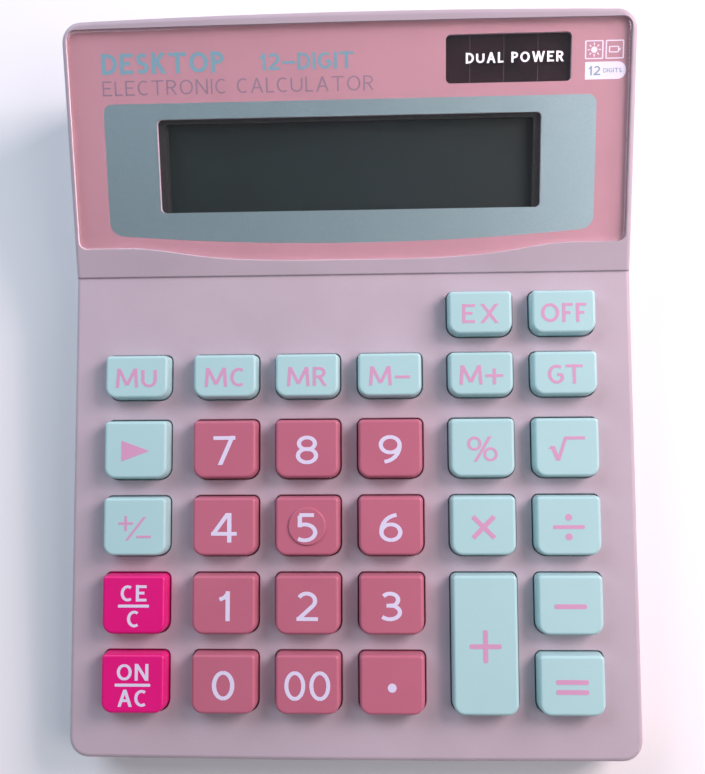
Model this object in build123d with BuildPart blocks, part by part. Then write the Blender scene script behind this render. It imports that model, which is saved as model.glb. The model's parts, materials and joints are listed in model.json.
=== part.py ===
"""Desk calculator: a sloping keypad, a raised display head and a two-part plastic casing.

Units are millimetres. +X is to the user's right, +Y is away from the user and +Z is up.
The origin is under the centre of the calculator, on the table that its feet stand on.
Every sub-part is one STEP file in parts/, and the file's name is the sub-part's name.
"""

import os
from collections import namedtuple
from math import cos, pi, radians, sin, tan

from build123d import *

# ---------------------------------------------------------------- driving dimensions
WIDTH = 144.0
KEYPAD_LENGTH = 122.7  # along the keypad's slope, front edge to crease
HEAD_LENGTH = 64.4  # along the head's slope, crease to back edge
KEYPAD_SLOPE = 4.0  # degrees above the table
HEAD_SLOPE = 18.5
FRONT_HEIGHT = 12.5  # of the keypad deck at its front edge
HEAD_STEP = 0.5  # the head stands this much above the keypad deck at the crease
FRONT_BOW = 0.4  # the front and back edges bulge by this much at the middle
BACK_BOW = 1.0
CORNER_RADIUS = 5.0
RIM_RADIUS = 1.1  # rounding where the decks meet the side walls
CREASE_RADIUS = 0.35

WALL = 2.0
OVERLAP = 0.5  # how far a cut runs past the face it goes through, or a post into its wall
NEAR = 0.01  # tolerance when edges and corners are picked by their place
KEYPAD_DECK = 2.0
HEAD_DECK = 3.2
FOOT_HEIGHT = 1.2
FLOOR = 2.0
PARTING = 6.0  # height of the joint between the casing's halves
PARTING_REVEAL = 0.3

# ---------------------------------------------------------------- keys
COLUMNS = (-54.7, -31.9, -10.9, 10.1, 33.2, 54.2)
SHORT_ROWS = (-10.95, -26.55)  # along the keypad, back from the crease is positive
TALL_ROWS = (-45.2, -64.65, -84.1, -103.55)
KEY_WIDTH = 16.4
SHORT_KEY = 11.3
TALL_KEY = 14.95
DOUBLE_KEY = TALL_ROWS[2] - TALL_ROWS[3] + TALL_KEY
KEY_RISE = 4.2  # of a key's top above the deck
KEY_DRAFT = 3.5  # degrees
KEY_EDGE = 0.75  # rounding of the key's top edge
KEY_BACK_CORNER = 1.3
KEY_FRONT_CORNER = 3.0
KEY_GAP = 0.28  # between a key and its aperture
KEY_WALL = 1.2
KEY_ROOF = 1.3
KEY_FLANGE = 0.85  # a flange under the deck keeps the key in
FLANGE_THICKNESS = 0.8
FLANGE_PLAY = 0.05
KEY_TRAVEL = 1.6
TRAVEL_SPARE = 0.15  # between a fully pressed key's flange and the rubber mat
SMALLEST_CORNER = 0.3  # of a key's outline moved inwards
PLUNGER_RADIUS = 2.0
RIB = 0.8
TACTILE_RADIUS = 4.75  # the raised disc on the 5 key
TACTILE_RISE = 0.4
TACTILE_EDGE = 0.32
APERTURE_EDGE = 0.3  # rounding of an aperture's rim

# levels below the outer face of the keypad deck
FLANGE_TOP = -(KEYPAD_DECK + FLANGE_PLAY)
KEY_BOTTOM = FLANGE_TOP - FLANGE_THICKNESS
MAT_TOP = KEY_BOTTOM - KEY_TRAVEL - TRAVEL_SPARE
MAT_THICKNESS = 0.9
BOARD_TOP = MAT_TOP - MAT_THICKNESS
BOARD_THICKNESS = 1.6
BOARD_BOTTOM = BOARD_TOP - BOARD_THICKNESS
DOME_HEIGHT = 2.0
PLUNGER_GAP = 0.05
DOME_TOP = MAT_TOP + DOME_HEIGHT
PLUNGER_BOTTOM = DOME_TOP + PLUNGER_GAP
DOME_BASE_RADIUS = 4.0
DOME_TOP_RADIUS = 2.4
DOME_WALL = 0.8
PILL_RADIUS = 1.5
PILL_THICKNESS = 0.4

BOARD_WIDTH = 125.4
BOARD_BACK = -2.6
BOARD_FRONT = -114.6
MAT_MARGIN = 1.5
MAT_HOLE_CLEARANCE = 0.4
BOARD_HOLE_CLEARANCE = 0.2
MAT_BACK = BOARD_BACK - 3.8
MAT_FRONT = BOARD_FRONT + MAT_MARGIN
CHIP_PLACE = (0, -40)
CHIP_RADIUS = 8.0
CHIP_HEIGHT = 1.6
CHIP_TAPER = 40
CHIP_EDGE = 1.28
CAPACITOR_PLACE = (11, -62)
CAPACITOR_RADIUS = 2.5
CAPACITOR_HEIGHT = 4.5
CAPACITOR_EDGE = 0.3

# ---------------------------------------------------------------- display head
WINDOW_HALF_WIDTH = 70.7
WINDOW_TOP = 62.1  # along the head's slope from the crease
WINDOW_CORNER_LEVEL = 7.45
WINDOW_SHOULDER_X = 58.0  # the lower edge starts to dip here
WINDOW_SLOPE_X = 41.0
WINDOW_SLOPE_LEVEL = 5.5
WINDOW_DIP_LEVEL = 3.8
WINDOW_TOP_BOW = 0.3
WINDOW_TOP_CORNER = 2.4
WINDOW_BOTTOM_CORNER = 2.0
WINDOW_RECESS = 1.8
WINDOW_PROUD = 0.35
WINDOW_EDGE = 0.9  # rounding of the window's upper edge
WINDOW_FALL = 5.0  # degrees that its face falls away along the back edge
WINDOW_FALL_WIDTH = 3.2
WINDOW_GAP = 0.1
PRINT_THICKNESS = 0.1
PRINT_AIR = 0.06  # between the printed layer and the window's underside

BEZEL_HALF_WIDTH = 62.5
BEZEL_TOP = 43.95
BEZEL_CORNER_LEVEL = 10.85
BEZEL_DIP_LEVEL = 8.05
BEZEL_TOP_CORNER = 2.2
BEZEL_BOTTOM_CORNER = 3.6

OPENING_HALF_WIDTH = 48.9  # clear opening of the window over the display
OPENING_BOTTOM = 16.4
OPENING_TOP = 39.95
OPENING_CORNER = 1.2
SOLAR_LEFT = 24.9
SOLAR_RIGHT = 56.1
SOLAR_BOTTOM = 47.2
SOLAR_TOP = 59.0

SIGHT_HALF_WIDTH = 47.1  # clear opening of the black frame that holds the display
SIGHT_BOTTOM = 15.9
SIGHT_TOP = 38.85
FRAME_HALF_WIDTH = 53.0
FRAME_BOTTOM = 8.2
FRAME_TOP = 44.5
GLASS_HALF_WIDTH = 50.0
GLASS_BOTTOM = 13.6
GLASS_LEDGE = 10.6  # the rear glass reaches down to here, to carry its terminals
GLASS_TOP = 41.6
GLASS_CLEARANCE = 0.2
GLASS_DEPTH = 6.5  # of the display's face below the head deck
FILM = 0.2
GLASS = 0.7
BACKING = 0.6
FRAME_DEPTH = 8.9
FRAME_CORNER = 1.0
SIGHT_CORNER = 0.8
GLASS_CORNER = 0.2
FILM_CORNER = 0.5
FILM_MARGIN = 0.6  # the films stop this far inside the glass
BACKING_MARGIN = 0.1

SOLAR_THICKNESS = 1.1
SOLAR_OVERLAP = 1.8
SOLAR_TAPE = 0.3
SOLAR_CORNER = 0.5

FLEX_HALF_WIDTH = 34.0  # the printed film that joins the display to the board
FLEX = 0.12
FLEX_BEND = 3.0
FLEX_LAND = 2.6
FLEX_SLOT = 0.5  # clearance round the film where it leaves the frame
FLEX_STRAIGHT = 1.0  # the film runs straight this far past the board and the frame
FLEX_END_GAP = 0.4

# ---------------------------------------------------------------- screws, feet, battery
CASE_SCREW_X = 66.9
BACK_SCREW_X = 64.5
FRONT_SCREW_INSET = 6.5
BACK_SCREW_INSET = 11.0
BOSS_RADIUS = 2.9
BOSS_GAP = 0.1
SCREW_RADIUS = 1.3
SCREW_LENGTH = 6.6
SCREW_HEAD_RADIUS = 2.1
SCREW_HEAD = 1.4
COUNTERBORE_RADIUS = 2.3
COUNTERBORE_DEPTH = 2.2
SCREW_SPARE = 0.2  # a pilot hole is this much deeper than its screw
TONGUE = 1.0  # the lower half's tongue stands this far into the upper half
TONGUE_THICKNESS = 0.9
TONGUE_CLEARANCE = 0.1
TRAY_TAPER = 14
TRAY_EDGE = 0.8
PILOT_CLEARANCE = 0.02
SHANK_CLEARANCE = 0.15
SLOT_WIDTH = 0.6
SLOT_SPAN = 1.4  # of the case screws' cross, over their heads' radius
SLOT_DEPTH = 0.84

BOARD_SCREW_X = (-42.95, 21.95)
BOARD_SCREW_Y = (-19.0, -54.9, -74.4, -109.5)
BOARD_BOSS_RADIUS = 1.9
BOARD_SCREW_RADIUS = 0.8
BOARD_SCREW_HEAD_RADIUS = 1.6
BOARD_SCREW_HEAD = 1.0
BOARD_SCREW_LENGTH = 5.0

FOOT_RADIUS = 5.0
FOOT_RECESS = 0.8
FOOT_CLEARANCE = 0.1
FOOT_EDGE = 0.4
FRONT_FOOT = (58.0, 17.0)  # half spacing, and distance in from the casing's edge
BACK_FOOT = (49.0, 14.0)

CELL_RADIUS = 7.1  # an AA cell
CELL_BODY = 49.4
CELL_NUB_RADIUS = 2.7
CELL_NUB = 1.1
CELL_EDGE = 0.5
CELL_BELOW = 0.4  # from the door up to the cell
CELL_ABOVE = 0.5  # and from the cell up to the bay's roof
BAY_Y_FROM_CREASE = 45.0
BAY_HALF_LENGTH = 29.3
BAY_HALF_WIDTH = 8.2
BAY_WALL = 1.5
DOOR_THICKNESS = 1.5
DOOR_GAP = 0.25
DOOR_SEAT_GAP = 0.05
DOOR_CORNER = 0.8
DOOR_FRAME = 3.4  # the thickened floor round the door reaches this far past it
DOOR_FRAME_RISE = 1.6
DOOR_HALF_LENGTH = 31.8
DOOR_HALF_WIDTH = 10.6
CONTACT = 0.4
CONTACT_WIDTH = 11.0
TAB_WIDTH = 3.6
TAB_TOP = 21.8  # the contacts' solder tabs stand up through the bay's roof to here
SPRING_RADIUS = 3.4
SPRING_WIRE = 0.4
SPRING_PITCH = 1.7
SPRING_SEAT = 0.1  # the coil's end sinks this far into its plate
CONTACT_PLAY = 0.2
HINGE_X = 20.0  # the door's two knuckles stand this far from the middle
HINGE_REACH = 1.4  # from the door's front edge to its hinge axis
KNUCKLE_WIDTH = 6.0
KNUCKLE_RADIUS = DOOR_THICKNESS / 2
KNUCKLE_CLEARANCE = 0.2
HINGE_PIN_RADIUS = 0.4
HINGE_PIN_LENGTH = 1.0  # on each side of a knuckle
HINGE_PIN_CLEARANCE = 0.08
LATCH_WIDTH = 8.0
LATCH_THICKNESS = 0.9
LATCH_HEIGHT = 1.9
LATCH_INSET = 1.5  # of its middle from the door's back edge
LATCH_SLOT_INSET = 1.35
LATCH_SLOT = 1.9
LATCH_PLAY = 0.3
FINGER_NOTCH_DEPTH = 0.9
FINGER_NOTCH_RADIUS = 8.0
FINGER_NOTCH_INSET = 5.5
GRIP_COUNT = 3
GRIP_INSET = 3.2
GRIP_PITCH = 1.6
GRIP_LENGTH = 14.0
GRIP_SHORTENING = 2.0  # from each grip rib to the next
GRIP_WIDTH = 0.7
GRIP_DEPTH = 0.4
LEAD_RADIUS = 0.6
LEAD_SECTION = pi * LEAD_RADIUS**2
LEAD_ARC_SHARE = 0.45  # of the shorter run beside a bend that its arc takes
LEAD_END_GAP = 0.02
LEAD_HIGH = 21.0  # the battery leads leave their tabs at this height
LEAD_FLOOR = 4.4  # and turn up to the board from this one
LEAD_BOARD_Y = -8.0  # of the lead's joint on the board, from the crease
BATTERY_LEAD_ROUTE = ((31.6, 20.5), (19.6, 10.0), (5.0, 5.0))  # from the crease, and height
SOLAR_LEAD_X = (35.0, 46.0)
SOLAR_LEAD_LEVEL = 53.0
SOLAR_LEAD_ROUTE = ((53.1, 24.0), (43.6, 12.0), (29.6, 7.0), (15.6, 4.6), (3.6, 5.2))

# ---------------------------------------------------------------- derived places
KEYPAD_RUN = KEYPAD_LENGTH * cos(radians(KEYPAD_SLOPE))
HEAD_RUN = HEAD_LENGTH * cos(radians(HEAD_SLOPE))
DEPTH = KEYPAD_RUN + HEAD_RUN + FRONT_BOW + BACK_BOW
Y_FRONT = -DEPTH / 2 + FRONT_BOW
Y_BACK = DEPTH / 2 - BACK_BOW
Y_CREASE = Y_FRONT + KEYPAD_RUN
Z_CREASE = FRONT_HEIGHT + KEYPAD_LENGTH * sin(radians(KEYPAD_SLOPE))
FLOOR_TOP = FOOT_HEIGHT + FLOOR
HIGH = 60.0  # above everything

KEYPAD_UP = Vector(0, -sin(radians(KEYPAD_SLOPE)), cos(radians(KEYPAD_SLOPE)))
HEAD_UP = Vector(0, -sin(radians(HEAD_SLOPE)), cos(radians(HEAD_SLOPE)))
KEYPAD = Plane((0, Y_CREASE, Z_CREASE), x_dir=(1, 0, 0), z_dir=KEYPAD_UP)
HEAD = Plane((0, Y_CREASE, Z_CREASE + HEAD_STEP), x_dir=(1, 0, 0), z_dir=HEAD_UP)
CREASE_WALL = Plane((0, Y_CREASE, 0), x_dir=(1, 0, 0), z_dir=(0, 1, 0))
KEYPAD_NORMAL = Axis((0, 0, 0), KEYPAD_UP)
HEAD_NORMAL = Axis((0, 0, 0), HEAD_UP)

Key = namedtuple("Key", "name x y length")
KEYS = [
    Key("key_exchange", COLUMNS[4], SHORT_ROWS[0], SHORT_KEY),
    Key("key_off", COLUMNS[5], SHORT_ROWS[0], SHORT_KEY),
    Key("key_mark_up", COLUMNS[0], SHORT_ROWS[1], SHORT_KEY),
    Key("key_memory_clear", COLUMNS[1], SHORT_ROWS[1], SHORT_KEY),
    Key("key_memory_recall", COLUMNS[2], SHORT_ROWS[1], SHORT_KEY),
    Key("key_memory_minus", COLUMNS[3], SHORT_ROWS[1], SHORT_KEY),
    Key("key_memory_plus", COLUMNS[4], SHORT_ROWS[1], SHORT_KEY),
    Key("key_grand_total", COLUMNS[5], SHORT_ROWS[1], SHORT_KEY),
    Key("key_backspace", COLUMNS[0], TALL_ROWS[0], TALL_KEY),
    Key("key_7", COLUMNS[1], TALL_ROWS[0], TALL_KEY),
    Key("key_8", COLUMNS[2], TALL_ROWS[0], TALL_KEY),
    Key("key_9", COLUMNS[3], TALL_ROWS[0], TALL_KEY),
    Key("key_percent", COLUMNS[4], TALL_ROWS[0], TALL_KEY),
    Key("key_root", COLUMNS[5], TALL_ROWS[0], TALL_KEY),
    Key("key_sign", COLUMNS[0], TALL_ROWS[1], TALL_KEY),
    Key("key_4", COLUMNS[1], TALL_ROWS[1], TALL_KEY),
    Key("key_5", COLUMNS[2], TALL_ROWS[1], TALL_KEY),
    Key("key_6", COLUMNS[3], TALL_ROWS[1], TALL_KEY),
    Key("key_multiply", COLUMNS[4], TALL_ROWS[1], TALL_KEY),
    Key("key_divide", COLUMNS[5], TALL_ROWS[1], TALL_KEY),
    Key("key_clear_entry", COLUMNS[0], TALL_ROWS[2], TALL_KEY),
    Key("key_1", COLUMNS[1], TALL_ROWS[2], TALL_KEY),
    Key("key_2", COLUMNS[2], TALL_ROWS[2], TALL_KEY),
    Key("key_3", COLUMNS[3], TALL_ROWS[2], TALL_KEY),
    Key("key_plus", COLUMNS[4], (TALL_ROWS[2] + TALL_ROWS[3]) / 2, DOUBLE_KEY),
    Key("key_minus", COLUMNS[5], TALL_ROWS[2], TALL_KEY),
    Key("key_on", COLUMNS[0], TALL_ROWS[3], TALL_KEY),
    Key("key_0", COLUMNS[1], TALL_ROWS[3], TALL_KEY),
    Key("key_00", COLUMNS[2], TALL_ROWS[3], TALL_KEY),
    Key("key_point", COLUMNS[3], TALL_ROWS[3], TALL_KEY),
    Key("key_equals", COLUMNS[5], TALL_ROWS[3], TALL_KEY),
]


def dome_places(key):
    """Where a key has rubber domes under it: one, or two under the double-length key."""
    if key.length == DOUBLE_KEY:
        return [(key.x, TALL_ROWS[2]), (key.x, TALL_ROWS[3])]
    return [(key.x, key.y)]


def dome_locations(level):
    """Placements on the keypad for every dome, at a level of its deck."""
    frame = KEYPAD.offset(level)
    return [frame.location * Location((x, y, 0)) for x, y in DOMES]


DOMES = [place for key in KEYS for place in dome_places(key)]
BOARD_SCREWS = [(x, y) for x in BOARD_SCREW_X for y in BOARD_SCREW_Y]
CASE_SCREWS = [
    (side * x, y)
    for side in (-1, 1)
    for x, y in (
        (CASE_SCREW_X, Y_FRONT + FRONT_SCREW_INSET),
        (CASE_SCREW_X, Y_CREASE - KEYPAD_RUN / 2),
        (BACK_SCREW_X, Y_BACK - BACK_SCREW_INSET),
    )
]
FEET = [
    (side * x, y)
    for side in (-1, 1)
    for x, y in (
        (FRONT_FOOT[0], Y_FRONT + FRONT_FOOT[1]),
        (BACK_FOOT[0], Y_BACK - BACK_FOOT[1]),
    )
]
SCREW_SEAT = FOOT_HEIGHT + COUNTERBORE_DEPTH
SCREW_TIP = SCREW_SEAT + SCREW_LENGTH
BAY_Y = Y_CREASE + BAY_Y_FROM_CREASE
DOOR_TOP = FOOT_HEIGHT + DOOR_THICKNESS
CELL_Z = DOOR_TOP + CELL_BELOW + CELL_RADIUS
BAY_ROOF = CELL_Z + CELL_RADIUS + CELL_ABOVE
BAY_TOP = BAY_ROOF + BAY_WALL
BAY_FRAME_TOP = DOOR_TOP + DOOR_FRAME_RISE
DOOR_FRONT = BAY_Y - DOOR_HALF_WIDTH + DOOR_GAP
DOOR_BACK = BAY_Y + DOOR_HALF_WIDTH - DOOR_GAP
HINGE_Y = DOOR_FRONT - HINGE_REACH
HINGE_Z = FOOT_HEIGHT + KNUCKLE_RADIUS
FLEX_LEVEL = -(GLASS_DEPTH + FILM + GLASS) + FLEX  # the film's upper face, on the rear glass
SOLAR_BACK = -(HEAD_DECK + SOLAR_TAPE + SOLAR_THICKNESS)
STANDING = (Align.CENTER, Align.CENTER, Align.MIN)
CELL_TIP_X = BAY_HALF_LENGTH - CONTACT  # the cell's positive tip touches its contact
CELL_END_X = CELL_TIP_X - CELL_NUB - CELL_BODY  # the flat end, on the spring

os.makedirs("parts", exist_ok=True)


def save(builder, name):
    """Labels a finished sub-part and writes it as parts/NAME.step."""
    builder.part.label = name
    export_step(builder.part, f"parts/{name}.step")


# ---------------------------------------------------------------- outlines
def casing_outline(inset):
    """The casing's plan outline, moved in from its outer face by inset."""
    half, front, back = WIDTH / 2 - inset, Y_FRONT + inset, Y_BACK - inset
    with BuildSketch(Plane.XY, mode=Mode.PRIVATE) as outline:
        with BuildLine():
            Line((-half, back), (-half, front))
            ThreePointArc((-half, front), (0, front - FRONT_BOW), (half, front))
            Line((half, front), (half, back))
            ThreePointArc((half, back), (0, back + BACK_BOW), (-half, back))
        make_face()
        fillet(outline.vertices(), CORNER_RADIUS - inset)
    return outline.sketch


def key_outline(length, grow=0.0):
    """A key's plan outline, small corners at the back and large ones at the front."""
    with BuildSketch(Plane.XY, mode=Mode.PRIVATE) as outline:
        Rectangle(KEY_WIDTH + 2 * grow, length + 2 * grow)
        rows = outline.vertices().group_by(Axis.Y)
        fillet(rows[-1], max(KEY_BACK_CORNER + grow, SMALLEST_CORNER))
        rows = outline.vertices().group_by(Axis.Y)
        fillet(rows[0], max(KEY_FRONT_CORNER + grow, SMALLEST_CORNER))
    return outline.sketch


def window_outline(grow=0.0):
    """The display window: straight top and sides, and a lower edge that dips at the middle."""
    half, top = WINDOW_HALF_WIDTH + grow, WINDOW_TOP + grow
    corner, dip = WINDOW_CORNER_LEVEL - grow, WINDOW_DIP_LEVEL - grow
    slope = WINDOW_SLOPE_LEVEL - grow
    with BuildSketch(Plane.XY, mode=Mode.PRIVATE) as outline:
        with BuildLine():
            Polyline((-half, top), (-half, corner), (-WINDOW_SHOULDER_X, corner))
            Spline(
                (-WINDOW_SHOULDER_X, corner),
                (-WINDOW_SLOPE_X, slope),
                (0, dip),
                (WINDOW_SLOPE_X, slope),
                (WINDOW_SHOULDER_X, corner),
                tangents=((1, 0), (1, 0)),
            )
            Polyline((WINDOW_SHOULDER_X, corner), (half, corner), (half, top))
            ThreePointArc((half, top), (0, top + WINDOW_TOP_BOW), (-half, top))
        make_face()
        fillet(outline.vertices().group_by(Axis.Y)[-1], WINDOW_TOP_CORNER + grow)
        sides = outline.vertices().filter_by_position(Axis.Y, corner - NEAR, corner + NEAR)
        fillet(sides.group_by(Axis.X)[0] + sides.group_by(Axis.X)[-1], WINDOW_BOTTOM_CORNER + grow)
    return outline.sketch


def bezel_outline():
    """The silver field printed round the display."""
    half = BEZEL_HALF_WIDTH
    left, right = (-half, BEZEL_CORNER_LEVEL), (half, BEZEL_CORNER_LEVEL)
    with BuildSketch(Plane.XY, mode=Mode.PRIVATE) as outline:
        with BuildLine():
            Polyline(left, (-half, BEZEL_TOP), (half, BEZEL_TOP), right)
            ThreePointArc(right, (0, BEZEL_DIP_LEVEL), left)
        make_face()
        fillet(outline.vertices().group_by(Axis.Y)[-1], BEZEL_TOP_CORNER)
        fillet(outline.vertices().group_by(Axis.Y)[0], BEZEL_BOTTOM_CORNER)
    return outline.sketch


def bounded(left, right, bottom, top, radius):
    """A rounded rectangle between four limits."""
    with BuildSketch(Plane.XY, mode=Mode.PRIVATE) as outline:
        with Locations(((left + right) / 2, (bottom + top) / 2)):
            RectangleRounded(right - left, top - bottom, radius)
    return outline.sketch


def display_opening():
    """The clear opening over the display."""
    half = OPENING_HALF_WIDTH
    return bounded(-half, half, OPENING_BOTTOM, OPENING_TOP, OPENING_CORNER)


def solar_opening():
    """The clear opening over the solar cell."""
    return bounded(SOLAR_LEFT, SOLAR_RIGHT, SOLAR_BOTTOM, SOLAR_TOP, OPENING_CORNER)


# ---------------------------------------------------------------- casing
def casing_block(inset, deck, keep):
    """The solid under one deck, on one side of the crease, inset from the walls."""
    with BuildPart() as block:
        with BuildSketch(Plane.XY.offset(PARTING)):
            add(casing_outline(inset))
        extrude(amount=HIGH)
        split(bisect_by=deck, keep=Keep.BOTTOM)
        split(bisect_by=CREASE_WALL, keep=keep)
    return block.part


def rim_edges(block):
    """The edges round a block's sloping deck, without the one at the crease."""
    deck = block.faces().filter_by(GeomType.PLANE).sort_by(Axis.Z)[-1]
    return [edge for edge in deck.edges() if abs(edge.center().Y - Y_CREASE) > NEAR]


def make_head_shell():
    """The display head: rounded rim, window recess, and the openings in its floor."""
    with BuildPart() as head:
        add(casing_block(0, HEAD, Keep.TOP))
        fillet(rim_edges(head), RIM_RADIUS)
        edges = head.edges().filter_by(Axis.X)
        lip = edges.filter_by_position(Axis.Y, Y_CREASE - NEAR, Y_CREASE + NEAR)
        fillet(lip.sort_by(Axis.Z)[-1], CREASE_RADIUS)
        with BuildSketch(HEAD.offset(-WINDOW_RECESS)):
            add(window_outline(WINDOW_GAP))
        extrude(amount=WINDOW_RECESS + OVERLAP, mode=Mode.SUBTRACT)
        with BuildSketch(HEAD.offset(-HEAD_DECK - OVERLAP)):
            add(display_opening())
            add(solar_opening())
        extrude(amount=HEAD_DECK, mode=Mode.SUBTRACT)
    return head.part


def make_keypad_shell():
    """The keypad deck's half: rounded rim and a soft-edged aperture for every key."""
    with BuildPart() as keypad:
        add(casing_block(0, KEYPAD, Keep.BOTTOM))
        fillet(rim_edges(keypad), RIM_RADIUS)
        with BuildSketch(KEYPAD.offset(-KEYPAD_DECK - OVERLAP)):
            for key in KEYS:
                with Locations((key.x, key.y)):
                    add(key_outline(key.length, KEY_GAP))
        extrude(amount=KEYPAD_DECK + 2 * OVERLAP, mode=Mode.SUBTRACT)
        edges = keypad.faces().sort_by(KEYPAD_NORMAL)[-1].edges()
        inner = WIDTH / 2 - CORNER_RADIUS
        rims = [edge for edge in edges if abs(edge.center().X) < inner and edge.length < WIDTH / 2]
        fillet(rims, APERTURE_EDGE)
    return keypad.part


def make_cavity(deck, keep):
    """The hollow under one deck, less the screw bosses that stand in it."""
    with BuildPart() as cavity:
        add(casing_block(WALL, deck, keep))
        with BuildSketch(Plane.XY.offset(PARTING + BOSS_GAP)):
            with Locations(*CASE_SCREWS):
                Circle(BOSS_RADIUS)
        extrude(amount=HIGH, mode=Mode.SUBTRACT)
        if keep == Keep.BOTTOM:
            with BuildSketch(KEYPAD.offset(BOARD_TOP)):
                with Locations(*BOARD_SCREWS):
                    Circle(BOARD_BOSS_RADIUS)
            extrude(amount=-BOARD_TOP, mode=Mode.SUBTRACT)
    return cavity.part


def make_top_case():
    """Upper half of the casing: the two decks, the walls and the bosses."""
    with BuildPart() as top_case:
        add(make_head_shell())
        add(make_keypad_shell())
        add(make_cavity(HEAD.offset(-HEAD_DECK), Keep.TOP), mode=Mode.SUBTRACT)
        add(make_cavity(KEYPAD.offset(-KEYPAD_DECK), Keep.BOTTOM), mode=Mode.SUBTRACT)
        with BuildSketch(Plane.XY.offset(PARTING)):
            with Locations(*CASE_SCREWS):
                Circle(SCREW_RADIUS + PILOT_CLEARANCE)
        extrude(amount=SCREW_TIP - PARTING + SCREW_SPARE, mode=Mode.SUBTRACT)
        with BuildSketch(KEYPAD.offset(BOARD_TOP)):
            with Locations(*BOARD_SCREWS):
                Circle(BOARD_SCREW_RADIUS + PILOT_CLEARANCE)
        extrude(amount=BOARD_SCREW_LENGTH - BOARD_THICKNESS, mode=Mode.SUBTRACT)
    return top_case


def bay_block(half_length, half_width, top, mode, bottom=FOOT_HEIGHT, radius=0.0):
    """Adds or cuts a block centred on the battery bay, between two heights."""
    with BuildSketch(Plane.XY.offset(bottom)) as section:
        with Locations((0, BAY_Y)):
            if radius:
                RectangleRounded(2 * half_length, 2 * half_width, radius)
            else:
                Rectangle(2 * half_length, 2 * half_width)
    extrude(section.sketch, amount=top - bottom, mode=mode)


def hinge_rods(radius, half_length, mode):
    """Adds or cuts a rod on the door's hinge axis, through each of its knuckles."""
    for side in (-1, 1):
        with BuildSketch(Plane.YZ.offset(side * HINGE_X - half_length)) as section:
            with Locations((HINGE_Y, HINGE_Z)):
                Circle(radius)
        extrude(section.sketch, amount=2 * half_length, mode=mode)


def cut_hinge_seats():
    """A notch for each of the door's knuckles, and a socket each side for its pin."""
    reach = KNUCKLE_RADIUS + KNUCKLE_CLEARANCE
    notch = HINGE_REACH + reach + OVERLAP
    with BuildSketch(Plane.XY.offset(FOOT_HEIGHT)) as section:
        for side in (-1, 1):
            with Locations((side * HINGE_X, HINGE_Y - reach + notch / 2)):
                Rectangle(KNUCKLE_WIDTH + 2 * KNUCKLE_CLEARANCE, notch)
    extrude(section.sketch, amount=KNUCKLE_RADIUS + reach, mode=Mode.SUBTRACT)
    half_pin = KNUCKLE_WIDTH / 2 + HINGE_PIN_LENGTH + HINGE_PIN_CLEARANCE
    hinge_rods(HINGE_PIN_RADIUS + HINGE_PIN_CLEARANCE, half_pin, Mode.SUBTRACT)


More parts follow.
